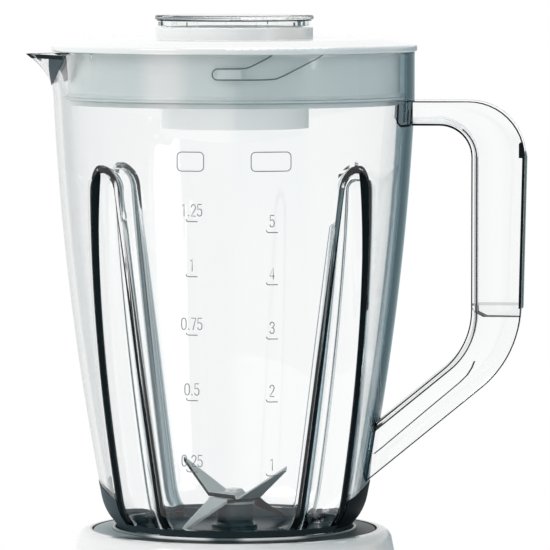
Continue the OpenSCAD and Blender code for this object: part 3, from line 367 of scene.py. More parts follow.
def loft(name, rows, closed=True, ends=False):
    """A mesh through rows of points in mm above the seat, as a new object."""
    count = len(rows[0])
    faces = []
    for r in range(len(rows) - 1):
        for i in range(count if closed else count - 1):
            j = (i + 1) % count
            faces.append((r * count + i, r * count + j, (r + 1) * count + j, (r + 1) * count + i))
    if ends:
        faces += [tuple(range(count))[::-1], tuple(range((len(rows) - 1) * count, len(rows) * count))]
    mesh = bpy.data.meshes.new(name)
    mesh.from_pydata([(x * MM, y * MM, seat + z * MM) for row in rows for x, y, z in row], [], faces)
    piece = bpy.data.objects.new(name, mesh)
    bpy.context.scene.collection.objects.link(piece)
    return piece


def work_on(piece):
    """Makes a piece the only one selected, and the active one."""
    bpy.ops.object.select_all(action="DESELECT")
    piece.select_set(True)
    bpy.context.view_layer.objects.active = piece


def modify(piece, kind, **settings):
    """Adds a modifier with its settings and applies it."""
    work_on(piece)
    made = piece.modifiers.new(kind.lower(), kind)
    for name, value in settings.items():
        setattr(made, name, value)
    bpy.ops.object.modifier_apply(modifier=made.name)


def smooth(piece, degrees):
    """Shades a piece smooth over edges that turn less than so many degrees."""
    work_on(piece)
    bpy.ops.object.shade_smooth_by_angle(angle=math.radians(degrees))


def clear_plastic(name, face_on, painted_edge_shade, index=1.47, right=None):
    """Clear plastic with faint flow lines, whose colour deepens towards its edges as painted shade.

    Its steep faces to the right can have a dark painted shade of their own.
    """
    material, flow, shader = blank(name)
    place = on_piece(flow)
    steep = flow.node("LayerWeight", None, {"Blend": 0.5}, "Facing")
    half_way = [0.5 * (a + b) for a, b in zip(face_on, painted_edge_shade)]
    stops = [(0, face_on), (0.55, [0.97 * c for c in face_on]), (0.8, half_way), (1, painted_edge_shade)]
    shade = flow.node("ValToRGB", {"stops": stops}, {0: steep})
    if right:
        x = flow.node("SeparateXYZ", None, {0: place}, "X")
        # Painted shade: steep faces on the right half take a dark tone of their own.
        painted_right_shade = steep.smooth(0.78, 0.95).mix(right, [min(1, 4 * c) for c in right])
        shade = (steep.smooth(0.645, 0.68) * x.smooth(0.0, 0.035)).mix(shade, painted_right_shade)
    wave = noise(flow, place, 14, 1)
    link(shader, Base_Color=shade, Roughness=0.0, IOR=index, Transmission_Weight=1.0,
         Normal=bump(flow, wave, 0.0001, 0.3))
    return material


def painted_shade_plastic(name, shade, through):
    """Painted shade on clear plastic, dark, grey or pale, where thick plastic bends the light aside."""
    material, flow, shader = blank(name)
    cloud = noise(flow, on_piece(flow), 60, 2)
    link(shader, Base_Color=cloud.mix([0.85 * c for c in shade], shade), Roughness=0.04 if through else 0.4,
         IOR=1.47, Transmission_Weight=through, Specular_IOR_Level=0.2 if through else 0.01,
         Normal=bump(flow, cloud, 0.00001))
    return material


def mould_on_jug(piece, *finishes):
    """Gives a clear piece its finishes and makes it a part of the jug."""
    for finish in finishes:
        piece.data.materials.append(finish)
    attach(piece, "jug")


foot_levels = [-12, -6, -1, 0, 0.6, FOOT_TOP, 1.25, 1.6, 2, 2.6, 3.4, 4.5, 6, 7.5, 9, 11, TURN_TOP, 15, 17.5]
flute_levels = [20 + 3 * k for k in range(37)] + [130.5, 132, 133, 134.5, 136, 137, 138, 138.8, 139.4, 139.8]
top_levels = [BACK_TOP, 140.8, 141.6, 142.2, 142.6, FRONT_TOP, 144, 148, 151, 155, 160, 164]
spout_levels = [SPOUT_ROOT, 170, 172, 174, 176, 178, 180, 182, 183.5, 185, 186, JUG_TOP, JUG_TOP + RIM_RISE]
heights = foot_levels + flute_levels + top_levels + spout_levels
rows = []
for z in heights:
    section = [point for k in range(4) for point in flute_points(k, z) + wall_points(k, z)]
    rows.append([(point.x, point.y, z) for point in section])
jug_shell = loft("jug_shell", rows)
# Faces along the flutes' mouth edges get painted shade: dark at the front pair, grey and pale at the back.
for face in jug_shell.data.polygons:
    row, point = divmod(face.index, len(rows[0]))
    face.material_index = flute_painted_shade(heights[row], point)
modify(jug_shell, "SOLIDIFY", thickness=WALL * MM, offset=-1, use_even_offset=True)
modify(jug_shell, "BEVEL", width=0.5 * MM, segments=2, limit_method="ANGLE", angle_limit=math.radians(62))
for vertex in jug_shell.data.vertices:
    rim = seat + (JUG_TOP + RIM_RISE * share(vertex.co.x / MM, -66, -60)) * MM
    vertex.co.z = min(vertex.co.z, rim)
smooth(jug_shell, 40)
# Painted shade: the jug darkens towards its edges, and its steep faces to the right turn dark teal.
jug_clear = clear_plastic("clear_jug_plastic", face_on=(0.98, 0.988, 0.988), painted_edge_shade=(0.30, 0.36, 0.38),
                          right=(0.07, 0.125, 0.15))
# Painted shade for the lines where thick plastic bends the light: dark, grey, pale and dark teal.
painted_dark_edge = painted_shade_plastic("painted_dark_edge_plastic", (0.008, 0.014, 0.017), through=0.0)
painted_grey_edge = painted_shade_plastic("painted_grey_edge_plastic", (0.22, 0.30, 0.33), through=1.0)
painted_pale_edge = painted_shade_plastic("painted_pale_edge_plastic", (0.52, 0.62, 0.65), through=1.0)
painted_teal_edge = painted_shade_plastic("painted_teal_edge_plastic", (0.060, 0.088, 0.102), through=0.0)
mould_on_jug(jug_shell, jug_clear, painted_dark_edge, painted_grey_edge, painted_pale_edge)
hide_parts("jug")


# Edges of the jug's foot: where the thick turned-in corners and the foot bend the light aside, skins and a
# band of painted shade lie on the wall. A moulded bead runs round the foot, where it meets the base's
# shoulder.
def outward(piece):
    """Turns a piece's faces outward."""
    work_on(piece)
    bpy.ops.object.mode_set(mode="EDIT")
    bpy.ops.mesh.select_all(action="SELECT")
    bpy.ops.mesh.normals_make_consistent(inside=False)
    bpy.ops.object.mode_set(mode="OBJECT")


def skin(name, rows, thick, offset=0, painted_shade=None):
    """A thin skin on the jug, lofted through rows, whose faces can get numbered finishes of painted shade."""
    piece = loft(name, rows, closed=False)
    if painted_shade:
        for face in piece.data.polygons:
            face.material_index = painted_shade(*divmod(face.index, len(rows[0]) - 1))
    modify(piece, "SOLIDIFY", thickness=thick * MM, offset=offset)
    outward(piece)
    smooth(piece, 40)
    return piece


def ring(name, radius, thick, height, sides):
    """A thin round ring about the axis, at a height above the seat, in mm."""
    bpy.ops.object.select_all(action="DESELECT")
    bpy.ops.mesh.primitive_torus_add(major_segments=128, minor_segments=sides, major_radius=radius * MM,
                                     minor_radius=thick * MM)
    made = bpy.context.object
    made.name = made.data.name = name
    made.data.transform(Matrix.Translation((0, 0, seat + height * MM)))
    made.location = (0, 0, 0)
    smooth(made, 60)
    return made


# Painted shade on the turned-in corners: dark teal on the left, nearly black on the right.
CORNER_LOW, CORNER_TOP, CORNER_RISE, CORNER_STEPS, CORNER_PROUD = 2, 13.4, 5.6, 12, 0.12
for name, first, last, finish in (("left_bottom_corner", 212.5, 172, painted_teal_edge),
                                  ("right_bottom_corner", 331.7, 372, painted_dark_edge)):
    rows = []
    for i in range(CORNER_STEPS + 1):
        angle = math.radians(first + (last - first) * i / CORNER_STEPS)
        top = CORNER_TOP + CORNER_RISE * math.sin(math.pi / 2 * min(1, i / 10))
        column = []
        for step in range(CORNER_STEPS + 1):
            z = CORNER_LOW + (top - CORNER_LOW) * step / CORNER_STEPS
            r = wall_r(z) + CORNER_PROUD
            column.append((r * math.cos(angle), r * math.sin(angle), z))
        rows.append(column if last > first else column[::-1])
    mould_on_jug(skin(name, rows, thick=0.1, offset=-1), finish)
# A band of painted dark shade stands just proud round the foot.
BAND_FLUSH, BAND_PROUD = 0.02, 0.18
band_steps = ((1.2, BAND_FLUSH), (1.5, BAND_PROUD), (2.6, BAND_PROUD), (3.4, BAND_PROUD), (3.7, BAND_FLUSH))
around = [math.radians(3 * n) for n in range(120)]
rows = []
for z, proud in band_steps:
    rows.append([((wall_r(z) + proud) * math.cos(a), (wall_r(z) + proud) * math.sin(a), z) for a in around])
foot_band = loft("foot_band", rows)
smooth(foot_band, 40)
mould_on_jug(foot_band, painted_shade_plastic("foot_band_painted_shade", (0.042, 0.066, 0.077), through=0.0))
# The bead is painted dark as shade, with two pale painted highlights beside the middle.
BEAD_SHADE, BEAD_HIGHLIGHT = (0.10, 0.14, 0.15), (0.80, 0.83, 0.83)
foot_bead = ring("foot_bead", radius=47.6, thick=0.7, height=0.4, sides=10)
material, flow, shader = blank("foot_bead_plastic")
beside = flow.maths("ABSOLUTE", parts_of(flow)[0])
pale = beside.smooth(0.003, 0.009) * beside.smooth(0.033, 0.026)
fine = noise(flow, on_piece(flow), 700, 3)
link(shader, Base_Color=pale.mix(BEAD_SHADE, BEAD_HIGHLIGHT), Roughness=0.2 + 0.1 * fine,
     Normal=bump(flow, fine, 0.00001))
mould_on_jug(foot_bead, material)


# Folds and lip of the spout: where the flanks turn into the wall, and along the pouring edge, the moulding is
# thick, and skins of painted shade make it look dark. Both lie on the outside of the spout.
def spout_point(a, z, proud):
    """A point of the spout's outside at angle a from its middle, in mm."""
    r = wall_r(z) + spout_out(a, z) + proud
    return -r * math.cos(a), -r * math.sin(a), z


FOLD_LOW, FOLD_HIGH, FOLD_STEPS, FOLD_PROUD = 175, 11.9, 12, 0.12
LIP_LEVELS, LIP_TURN, LIP_PROUD = (185.4, 186.2, 187.05), 26, 0.1
for name, side in (("front_spout_fold", 1), ("back_spout_fold", -1)):
    rows = []
    for n in range(FOLD_STEPS + 1):
        rise = n / FOLD_STEPS
        first, last = math.radians(6.5 + 8.8 * rise), math.radians(7 + 21 * rise ** 0.55)
        row = [spout_point(side * (first + (last - first) * m / 8), FOLD_LOW + FOLD_HIGH * rise, FOLD_PROUD)
               for m in range(9)]
        rows.append(row if side > 0 else row[::-1])
    mould_on_jug(skin(name, rows, thick=0.1), painted_teal_edge)
lip_angles = [math.radians(-LIP_TURN + 2 * LIP_TURN * n / 24) for n in range(25)]
rows = [[spout_point(a, z, LIP_PROUD) for z in LIP_LEVELS] for a in lip_angles]
mould_on_jug(skin("spout_lip", rows, thick=0.15), painted_dark_edge)

# Jug handle: a clear channel, moulded with the jug and open outwards. Its web follows the
# finger gap and is thin, so that it hardly bends the light.
SLOPE = math.radians(39.4)
ROOT, ROOT_SUNK = 70.2, 1.2
HANDLE_TOP, GRIP_BACK, GRIP_LEAN, GRIP_LOW, OUTER_BEND, OUTER_KNEE = 169, 114.5, 1.3, 69.45, 22, 42
GAP_TOP, GAP_BACK, GAP_LOW, GAP_BEND, GAP_KNEE = 159.8, 93.6, 73.1, 12.5, 30
HANDLE_HALF, WEB_HALF, WEB_THICK, WEB_TOP_THICK = 11.5, 9, 1.9, 1.2
ARM_STEPS, BEND_STEPS, GRIP_STEPS = 8, 12, 14


def handle_path(top, side, corner, bend, knee, lean=0.0):
    """A side line of the handle from the wall over both bends and back, as (x, z) in mm."""
    path = [(ROOT + (side - bend - ROOT) * i / ARM_STEPS, top) for i in range(ARM_STEPS)]
    path += [(side - bend + bend * math.sin(a), top - bend + bend * math.cos(a))
             for a in [math.radians(90 / BEND_STEPS * i) for i in range(BEND_STEPS + 1)]]
    turn = math.pi / 2 - SLOPE
    drop = knee * math.tan(turn / 2)
    path += [(side - lean * i / GRIP_STEPS, top - bend + (corner + drop - top + bend) * i / GRIP_STEPS)
             for i in range(1, GRIP_STEPS)]
    path += [(side - lean - knee + knee * math.cos(a), corner + drop - knee * math.sin(a))
             for a in [turn * i / BEND_STEPS for i in range(BEND_STEPS + 1)]]
    x, z = path[-1]
    end = x
    for _ in range(20):  # steps towards the place where the line has sunk into the wall
        end = wall_r(z - (x - end) * math.tan(SLOPE)) - ROOT_SUNK
    path += [(x + (end - x) * i / ARM_STEPS, z - (x - end) * math.tan(SLOPE) * i / ARM_STEPS)
             for i in range(1, ARM_STEPS + 1)]
    return path


def gap_path(grow, above=0.0):
    """The finger gap's line, grown by grow beside and below it, and by above over it."""
    low = GAP_LOW + grow * (math.tan(SLOPE) - 1 / math.cos(SLOPE))
    return handle_path(GAP_TOP + above, GAP_BACK + grow, low, GAP_BEND + grow, GAP_KNEE - grow)


outer = handle_path(HANDLE_TOP, GRIP_BACK, GRIP_LOW, OUTER_BEND, OUTER_KNEE, GRIP_LEAN)
inner, web = gap_path(0), gap_path(WEB_THICK, WEB_TOP_THICK)
rows = []
for (ox, oz), (ix, iz), (wx, wz) in zip(outer, inner, web):
    rows.append([(ix, -HANDLE_HALF, iz), (ox, -HANDLE_HALF, oz), (ox, -WEB_HALF, oz), (wx, -WEB_HALF, wz),
                 (wx, WEB_HALF, wz), (ox, WEB_HALF, oz), (ox, HANDLE_HALF, oz), (ix, HANDLE_HALF, iz)])
jug_handle = loft("jug_handle", rows, ends=True)
outward(jug_handle)
# Painted shade: the handle darkens towards its edges, the thin web only a little.
plain_clear = clear_plastic("clear_handle_plastic", face_on=(0.985, 0.99, 0.99), painted_edge_shade=(0.10, 0.14, 0.16))
thin_clear = clear_plastic("thin_web_plastic", face_on=(0.97, 0.98, 0.98), painted_edge_shade=(0.80, 0.85, 0.86),
                           index=1.03)
for finish in (plain_clear, painted_dark_edge, thin_clear):
    jug_handle.data.materials.append(finish)
sides = len(rows[0])
WEB_OUTER, WEB_INNER, THIN = 3, 7, 2
for face in jug_handle.data.polygons:
    if face.index % sides in (WEB_OUTER, WEB_INNER) and face.index < sides * (ARM_STEPS + BEND_STEPS):
        face.material_index = THIN
# Painted shade: the bevelled edges get the dark finish on the front side, except along the upper arm.
modify(jug_handle, "BEVEL", width=0.5 * MM, segments=2, limit_method="ANGLE", material=DARK,
       angle_limit=math.radians(50))
for face in jug_handle.data.polygons:
    x, y, z = face.center
    in_top_arm = y > -0.010 and z > seat + 0.156 and x < 0.090
    if face.material_index == DARK and (y > 0 or in_top_arm):
        face.material_index = CLEAR
smooth(jug_handle, 40)
mould_on_jug(jug_handle)

# Bead of the finger gap: the rounded edge of the handle's front wall over the gap, moulded with
# it. It is painted dark as shade and thins out down the grip.
six_angles = [math.radians(60 * k) for k in range(6)]
GAP_BEAD_Y, GAP_BEAD_R, GAP_BEAD_THINS, GAP_BEAD_POINTS = -11.45, 0.34, 0.2, 28
rows = []
for n, (x, z) in enumerate(inner[:GAP_BEAD_POINTS]):
    thick = GAP_BEAD_R - GAP_BEAD_THINS * max(0, (n - 12) / 15)
    rows.append([(x, GAP_BEAD_Y + thick * math.sin(a), z + thick * math.cos(a)) for a in six_angles])
gap_bead = loft("gap_bead", rows, ends=True)
outward(gap_bead)
smooth(gap_bead, 60)
mould_on_jug(gap_bead, painted_dark_edge)

# Rib of the grip: a clear wall across the channel that closes the grip below, moulded with the
# handle. Its upper face has painted grey shade and its lower face painted dark shade.
RIB_HALF = 9.05
rib_line = [(113.0, 84.6), (98.3, 84.6), (95.2, 86.4), (93.9, 88.9), (96.0, 89.2), (113.6, 89.2)]
grip_rib = loft("grip_rib", [[(x, y, z) for x, z in rib_line] for y in (-RIB_HALF, RIB_HALF)], ends=True)
outward(grip_rib)
# Painted shade by the way a face points: grey on top, dark below.
for face in grip_rib.data.polygons:
    face.material_index = DARK if face.normal.z < -0.3 else GREY if face.normal.z > 0.3 else CLEAR
smooth(grip_rib, 20)
mould_on_jug(grip_rib, plain_clear, painted_dark_edge, painted_grey_edge)

# Cover of the grip: a separate clear strip with a low crown that snaps over the channel's back, given
# the pale painted shade. Its front edge shows as a dark seam of painted shadow, with a small lug at the top.
COVER_LOW, COVER_HIGH, COVER_TOP = 88, 147, 149.5
CROWN, CROWN_HALF, COVER_EDGE, COVER_HALF = 0.75, 7, 0.05, 11
SEAM_IN, SEAM_OUT, SEAM_BACK, SEAM_FRONT = -1.05, -0.1, -11.4, -11.65


def grip_edge(z):
    """How far out the grip's back edge is at height z, in mm."""
    return GRIP_BACK - GRIP_LEAN * share(z, COVER_HIGH, COVER_HIGH - 57.7)


levels = [COVER_LOW + (COVER_HIGH - COVER_LOW) * n / 16 for n in range(17)]
cover_section = ((CROWN, -CROWN_HALF), (CROWN, CROWN_HALF), (COVER_EDGE, COVER_HALF),
                 (COVER_EDGE, -COVER_HALF))
rows = [[(grip_edge(z) + x, y, z) for x, y in cover_section] for z in levels]
rows.append([(x, y, COVER_TOP) for x, y in ((114.75, -6), (114.75, 6), (114.3, 10), (114.3, -10))])
cover = loft("grip_cover", rows, ends=True)
outward(cover)
modify(cover, "BEVEL", width=0.3 * MM, segments=2, limit_method="ANGLE", angle_limit=math.radians(20))
smooth(cover, 40)
mould_on_jug(cover, painted_pale_edge)
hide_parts("handle_cover")


def join(parts, name):
    """Makes one piece of several."""
    bpy.ops.object.select_all(action="DESELECT")
    for part in parts:
        part.select_set(True)
    bpy.context.view_layer.objects.active = parts[0]
    bpy.ops.object.join()
    piece = bpy.context.object
    piece.name = piece.data.name = name
    return piece


# Painted shadow: a dark strip along the cover's front edge, with a lug at its top.
seam_section = ((SEAM_IN, SEAM_FRONT), (SEAM_OUT, SEAM_FRONT), (SEAM_OUT, SEAM_BACK), (SEAM_IN, SEAM_BACK))
rows = [[(grip_edge(z) + x, y, z) for x, y in seam_section] for z in levels]
seam = loft("cover_seam", rows, ends=True)
lug_line = [(112.1, 146.9), (112.1, 152.4), (112.7, 153.1), (113.2, 153.0), (113.9, 150.2), (114.35, 146.9)]
lug = loft("cover_lug", [[(x, y, z) for x, z in lug_line] for y in (-11.68, -11.35)], ends=True)
seam = join([seam, lug], "cover_seam")
outward(seam)
mould_on_jug(seam, painted_dark_edge)

# Ridge of the lower arm: the rounded corner between the web and the front wall, inside the
# channel. It is moulded with the handle and shows as a line of painted dark teal shade.
RIDGE_Y, RIDGE_R = -8.9, 0.35
ridge_line = [(95.0, 67.3), (93.9, 64.6), (92.2, 61.9), (89.3, 59.0), (85.3, 55.6), (77.2, 48.8),
              (67.3, 40.4), (55.8, 30.6)]
rows = [[(x + RIDGE_R * math.cos(a), RIDGE_Y + RIDGE_R * math.sin(a), z) for a in six_angles]
        for x, z in ridge_line]
handle_ridge = loft("handle_ridge", rows, ends=True)
outward(handle_ridge)
smooth(handle_ridge, 60)
mould_on_jug(handle_ridge, painted_teal_edge)

# Pockets at the handle's root: the wall behind the upper arm is thick, and skins of painted shade on it
# show grey with dark edges and pale streaks on both sides of the handle.
POCKET_LOW, POCKET_HIGH, POCKET_STEPS, POCKET_PROUD = 159.2, 9.6, 12, 0.1
POCKET_GREY_SHADE, POCKET_DARK_SHADE, POCKET_PALE_SHADE = range(3)


def pocket_painted_shade(column, row):
    """The finish of a pocket's face, all painted shade: dark at its edges, with pale streaks in the grey."""
    if column > 10 or row < 1 or column in (0, 3) and row < 7:
        return POCKET_DARK_SHADE
    return POCKET_PALE_SHADE if column in (4, 6, 7) and row > 1 else POCKET_GREY_SHADE


pocket_painted_grey = painted_shade_plastic("root_pocket_painted_shade", (0.22, 0.30, 0.335), through=0.0)
for name, side in (("front_root_pocket", -1), ("back_root_pocket", 1)):
    rows = []
    for n in range(POCKET_STEPS + 1):
        angle = math.radians(8.6 + 14.4 * n / POCKET_STEPS)
        cut = 1.8 * max(0, (n - 9) / 3)
        column = []
        for m in range(11):
            z = POCKET_LOW + cut + (POCKET_HIGH - cut - 0.6 * n / POCKET_STEPS) * m / 10
            r = wall_r(z) + POCKET_PROUD
            column.append((r * math.cos(angle), side * r * math.sin(angle), z))
        rows.append(column)
    mould_on_jug(skin(name, rows, thick=0.08, painted_shade=pocket_painted_shade), pocket_painted_grey, painted_dark_edge, painted_pale_edge)

# Screw collar and blade holder: dark grey glossy moulding round the foot, with painted light and shade:
# pale on the left, dark to the right and nearly black at the front. The smoke grey holder stands inside
# the jug's foot and carries the blades' shaft.
COLLAR_LIT, COLLAR_SHADED, COLLAR_FRONT_SHADE = (0.36, 0.44, 0.45), (0.06, 0.085, 0.095), (0.015, 0.022, 0.025)
material, flow, shader = blank("collar_plastic")
x, y = parts_of(flow)[:2]
# Painted light and shade: paler on the left, darker to the right and nearly black at the front.
shade = x.smooth(-0.05, 0.05).mix(COLLAR_LIT, COLLAR_SHADED)
shade = y.smooth(-0.028, -0.042).mix(shade, COLLAR_FRONT_SHADE)
fine = noise(flow, on_piece(flow), 700, 3)
link(shader, Base_Color=shade, Roughness=0.45 + 0.1 * fine, Specular_IOR_Level=0.25,
     Normal=bump(flow, fine, 0.00002))
dress(["jug_collar"], material)
holder_plastic = moulded("holder_plastic", (0.040, 0.085, 0.105), rough=0.3, coat=0.08, depth=0.00001)
dress(["blade_holder"], holder_plastic)


# Blades: two bent strips of ground stainless steel, one over the other, riveted on a steel shaft.
# Each is a copy of its CAD mesh whose wings are narrowed or bent down a little, and whose faces are painted
# in four tones of light, shade and reflection, by the way they point and the side they are on.
def blade_steel(name, shade, rough=0.4, metallic=0.1):
    """Stainless steel with lines ground across the blade."""
    return ground_steel(name, shade, rough, 420, (1, 12, 12), metallic=metallic)


HUB_R, WING = 9, 22
top_lit = blade_steel("top_lit_blade_steel", (0.64, 0.72, 0.725), metallic=0.15)
steels = [top_lit, blade_steel("shaded_blade_steel", (0.30, 0.46, 0.51)),
          blade_steel("dark_reflection_blade_steel", (0.012, 0.020, 0.023), rough=0.6, metallic=0.0),
          blade_steel("highlight_blade_steel", (0.80, 0.85, 0.85))]
TOP_TONE, SHADED, BLACK, BRIGHT = range(4)
for name, under, left, right, narrow, drop in (("upper_blade", SHADED, BLACK, BRIGHT, 0.83, 0.0),
                                               ("lower_blade", BLACK, BRIGHT, BLACK, 1.0, 1.6)):
    blade = bpy.data.objects.new(name + "_ground", nodes[name].data.copy())
    bpy.context.scene.collection.objects.link(blade)
    for vertex in blade.data.vertices:
        x, y, z = vertex.co
        beyond = max(0, math.hypot(x, y) / MM - HUB_R) / WING
        vertex.co = (x * (1 - (1 - narrow) * min(1, beyond)), y, z - drop * MM * beyond)
    blade.data.materials.clear()
    for finish in steels:
        blade.data.materials.append(finish)
    for face in blade.data.polygons:
        # Painted light and shade: a lit tone on top faces, a shaded one underneath, and a dark reflection or
        # a bright highlight on the others by side. The lower blade's right wing is all dark reflection.
        up, beside = face.normal.z, left if face.center.x < 0 else right
        face.material_index = TOP_TONE if up > 0.5 else under if up < -0.5 else beside
        if name == "lower_blade" and face.center.x > HUB_R * MM:
            face.material_index = BLACK
    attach(blade, "blades")
    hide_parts(name)
dress(["blade_washer"], top_lit)
rivet_steel = ground_steel("polished_steel", (0.86, 0.88, 0.88), rough=0.2, lines=900, metallic=0.3)
dress(["blade_shaft", "blade_rivet"], rivet_steel)

# Jug scale: raised lines on the front wall, litres on the left and cups on the right. A rounded
# frame stands over each column, and each number has a short hooked tick under it.
FACING = math.radians(4.3)
STROKE, POINT_STROKE, FRAME_STROKE = 0.18, 0.28, 0.17
DIGIT_WIDE, DIGIT_HIGH, DIGIT_SPACE, DIGIT_LIFT = 1.7, 4.5, 0.68, 2.1
TICK_HALF, TICK_HOOK, SCALE_PROUD = 2.2, 0.9, 0.02
FRAME_LOW, FRAME_HIGH, FRAME_CORNER = 144.0, 151.3, 1.7
BOWL = [(0, 1.5), (0.15, 1.85), (0.5, 2), (0.85, 1.85), (1, 1.5)]
DIGITS = {
    "0": [(0, 0.5)] + BOWL + [(1, 0.5), (0.85, 0.15), (0.5, 0), (0.15, 0.15), (0, 0.5)],
    "1": [(0.2, 1.7), (0.6, 2), (0.6, 0)],
    "2": BOWL + [(0.85, 1.1), (0, 0), (1, 0)],
    "3": BOWL + [(0.8, 1.12), (0.4, 1.05), (0.85, 0.9), (1, 0.5), (0.85, 0.15), (0.5, 0), (0.15, 0.12),
                 (0, 0.42)],
    "4": [(0.78, 0), (0.78, 2), (0, 0.55), (1.05, 0.55)],
    "5": [(0.95, 2), (0.1, 2), (0.05, 1.12), (0.5, 1.25), (0.88, 1.08), (1, 0.65), (0.88, 0.18), (0.5, 0),
          (0.12, 0.12), (0, 0.42)],
    "7": [(0, 2), (1, 2), (0.35, 0)],
    ".": [(0.2, 0), (0.2, 0.16)],
}


def line(points, radius):
    """A round line through flat points."""
    curve = bpy.data.curves.new("line", "CURVE")
    curve.dimensions = "3D"
    curve.bevel_depth, curve.bevel_resolution = radius, 1
    spline = curve.splines.new("POLY")
    spline.points.add(len(points) - 1)
    for point, (u, v) in zip(spline.points, points):
        point.co = (u, v, 0, 1)
    made = bpy.data.objects.new("line", curve)
    bpy.context.scene.collection.objects.link(made)
    work_on(made)
    bpy.ops.object.convert(target="MESH")
    return bpy.context.object


def figure(text, u, v):
    """A number in single strokes, centred on u, with its foot at v, as a list of lines."""
    spans = [0.4 * DIGIT_WIDE if sign == "." else DIGIT_WIDE for sign in text]
    start = u - (sum(spans) + DIGIT_SPACE * (len(text) - 1)) / 2
    made = []
    for sign, span in zip(text, spans):
        path = [(start + x * DIGIT_WIDE, v + y * DIGIT_HIGH / 2) for x, y in DIGITS[sign]]
        made.append(line(path, POINT_STROKE if sign == "." else STROKE))
        start += span + DIGIT_SPACE
    return made


def tick(u, v):
    """A short level mark with its left end hooked up."""
    hook = [(u - TICK_HALF, v + TICK_HOOK), (u - 1.9, v + 0.2), (u - 1.2, v)]
    return line(hook + [(u + TICK_HALF, v)], STROKE)


def rounded_frame(low, high, bottom, top, corner):
    """A rectangle with rounded corners."""
    turns = ((high - corner, top - corner, 0), (low + corner, top - corner, 90),
             (low + corner, bottom + corner, 180), (high - corner, bottom + corner, 270))
    path = []
    for u, v, start in turns:
        for step in range(0, 91, 18):
            angle = math.radians(start + step)
            path.append((u + corner * math.cos(angle), v + corner * math.sin(angle)))
    return line(path + path[:1], FRAME_STROKE)


def round_axis(u, v, r, angle):
    """A point u across and v up in mm on a circle of radius r, which faces the front at angle 0."""
    x, y = Matrix.Rotation(angle, 2) @ Vector((u, -math.sqrt(r * r - u * u)))
    return x * MM, y * MM, seat + v * MM


scale_grey = moulded("scale_grey_plastic", (0.16, 0.17, 0.18), rough=0.4, grain=300)
litre_marks = (("1.25", 124.7), ("1", 103.5), ("0.75", 80.9), ("0.5", 55.4), ("0.25", 27.4))
cup_marks = (("5", 120.5), ("4", 100.4), ("3", 79.4), ("2", 54.9), ("1", 25.9))
for name, column, marks, low, high in (("litre_scale", -16.3, litre_marks, -21.8, -11.7),
                                       ("cup_scale", 14.4, cup_marks, 6.4, 21.6)):
    parts = [rounded_frame(low, high, FRAME_LOW, FRAME_HIGH, FRAME_CORNER)]
    for text, height in marks:
        parts += figure(text, column, height + DIGIT_LIFT)
        parts.append(tick(column, height))
    scale = join(parts, name)
    for vertex in scale.data.vertices:
        u, v, proud = vertex.co
        vertex.co = round_axis(u, v, wall_r(v) + (SCALE_PROUD + proud), FACING)
    smooth(scale, 60)
    scale.data.materials.append(scale_grey)
    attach(scale, "jug")

# Lid tracks: the raised edge of the bayonet track inside the rim, one at the front and one at
# the back. It is a thin clear bead that runs up to the rim, given a painted dark teal shade.
TRACK_LOW, TRACK_MIDDLE, TRACK_HIGH, TRACK_RIM = 178.7, 180.85, 183, 187.9
TRACK_HALF, TRACK_END, TRACK_BEAD, TRACK_SUNK = 2.15, -6.2, 0.32, 0.1
track_line = [(TRACK_END, TRACK_LOW), (15.2, TRACK_LOW), (16.4, 179.1), (33.4, TRACK_RIM)]
track_back = [(14.2, TRACK_RIM), (5.2, 183.2), (4, TRACK_HIGH), (TRACK_END, TRACK_HIGH)]
closed_end = [(TRACK_END - 2.1 * math.sin(a), TRACK_MIDDLE + TRACK_HALF * math.cos(a))
              for a in [math.radians(d) for d in range(15, 180, 15)]]
beads = []
for turn in (0, math.pi):
    bead = line(track_back + closed_end + track_line, TRACK_BEAD)
    modify(bead, "SUBSURF", levels=1, render_levels=1)
    for vertex in bead.data.vertices:
        u, v, proud = vertex.co
        vertex.co = round_axis(u, v, wall_r(v) - WALL - TRACK_SUNK + proud, FACING + turn)
    beads.append(bead)
lid_track = join(beads, "lid_track")
smooth(lid_track, 60)
# The bead gets a painted dark teal shade.
mould_on_jug(lid_track, moulded("track_edge_plastic", (0.14, 0.20, 0.215), rough=0.2))

# Lid and its seal: glossy white moulding with a skirt inside the rim and a collar round the
# filler neck, and a pale silicone seal in the skirt's groove. The lid is a copy of its CAD mesh
# with the slab and the neck's root a little higher. The skirt and the seal get a painted teal shade, as the
# jug before them tones them, with a painted glint. The slab's edge has painted shade on its right, the seal a
# painted dark line along its bottom, and the filler neck a painted glow of its own.
SKIRT_TOP, SKIRT_R, SLAB_R, NECK_TOP, SEAL_SHADE_LINE_TOP = 0.1892, 0.050, 0.0708, 0.1835, 0.1699
SKIRT_LEFT, SKIRT_RIGHT, SKIRT_GLINT = (0.73, 0.82, 0.82), (0.70, 0.82, 0.85), (0.95, 0.97, 0.97)
SLAB_EDGE_SHADE, SEAL_SHADE_LINE, GLINT_X = (0.68, 0.79, 0.83), (0.56, 0.65, 0.67), -0.022
NECK_GLOW_LEFT, NECK_GLOW_RIGHT = (0.30, 0.31, 0.31), (0.20, 0.22, 0.225)


def skirt_shade(flow, x):
    """The skirt's painted shade as seen through the jug, with a painted upright glint left of the middle."""
    glint = flow.maths("ABSOLUTE", x - GLINT_X).smooth(0.013, 0.002)
    return glint.mix(x.smooth(-0.02, 0.07).mix(SKIRT_LEFT, SKIRT_RIGHT), SKIRT_GLINT)


material, flow, shader = blank("lid_white_plastic")
x, y, z, radius = parts_of(flow)
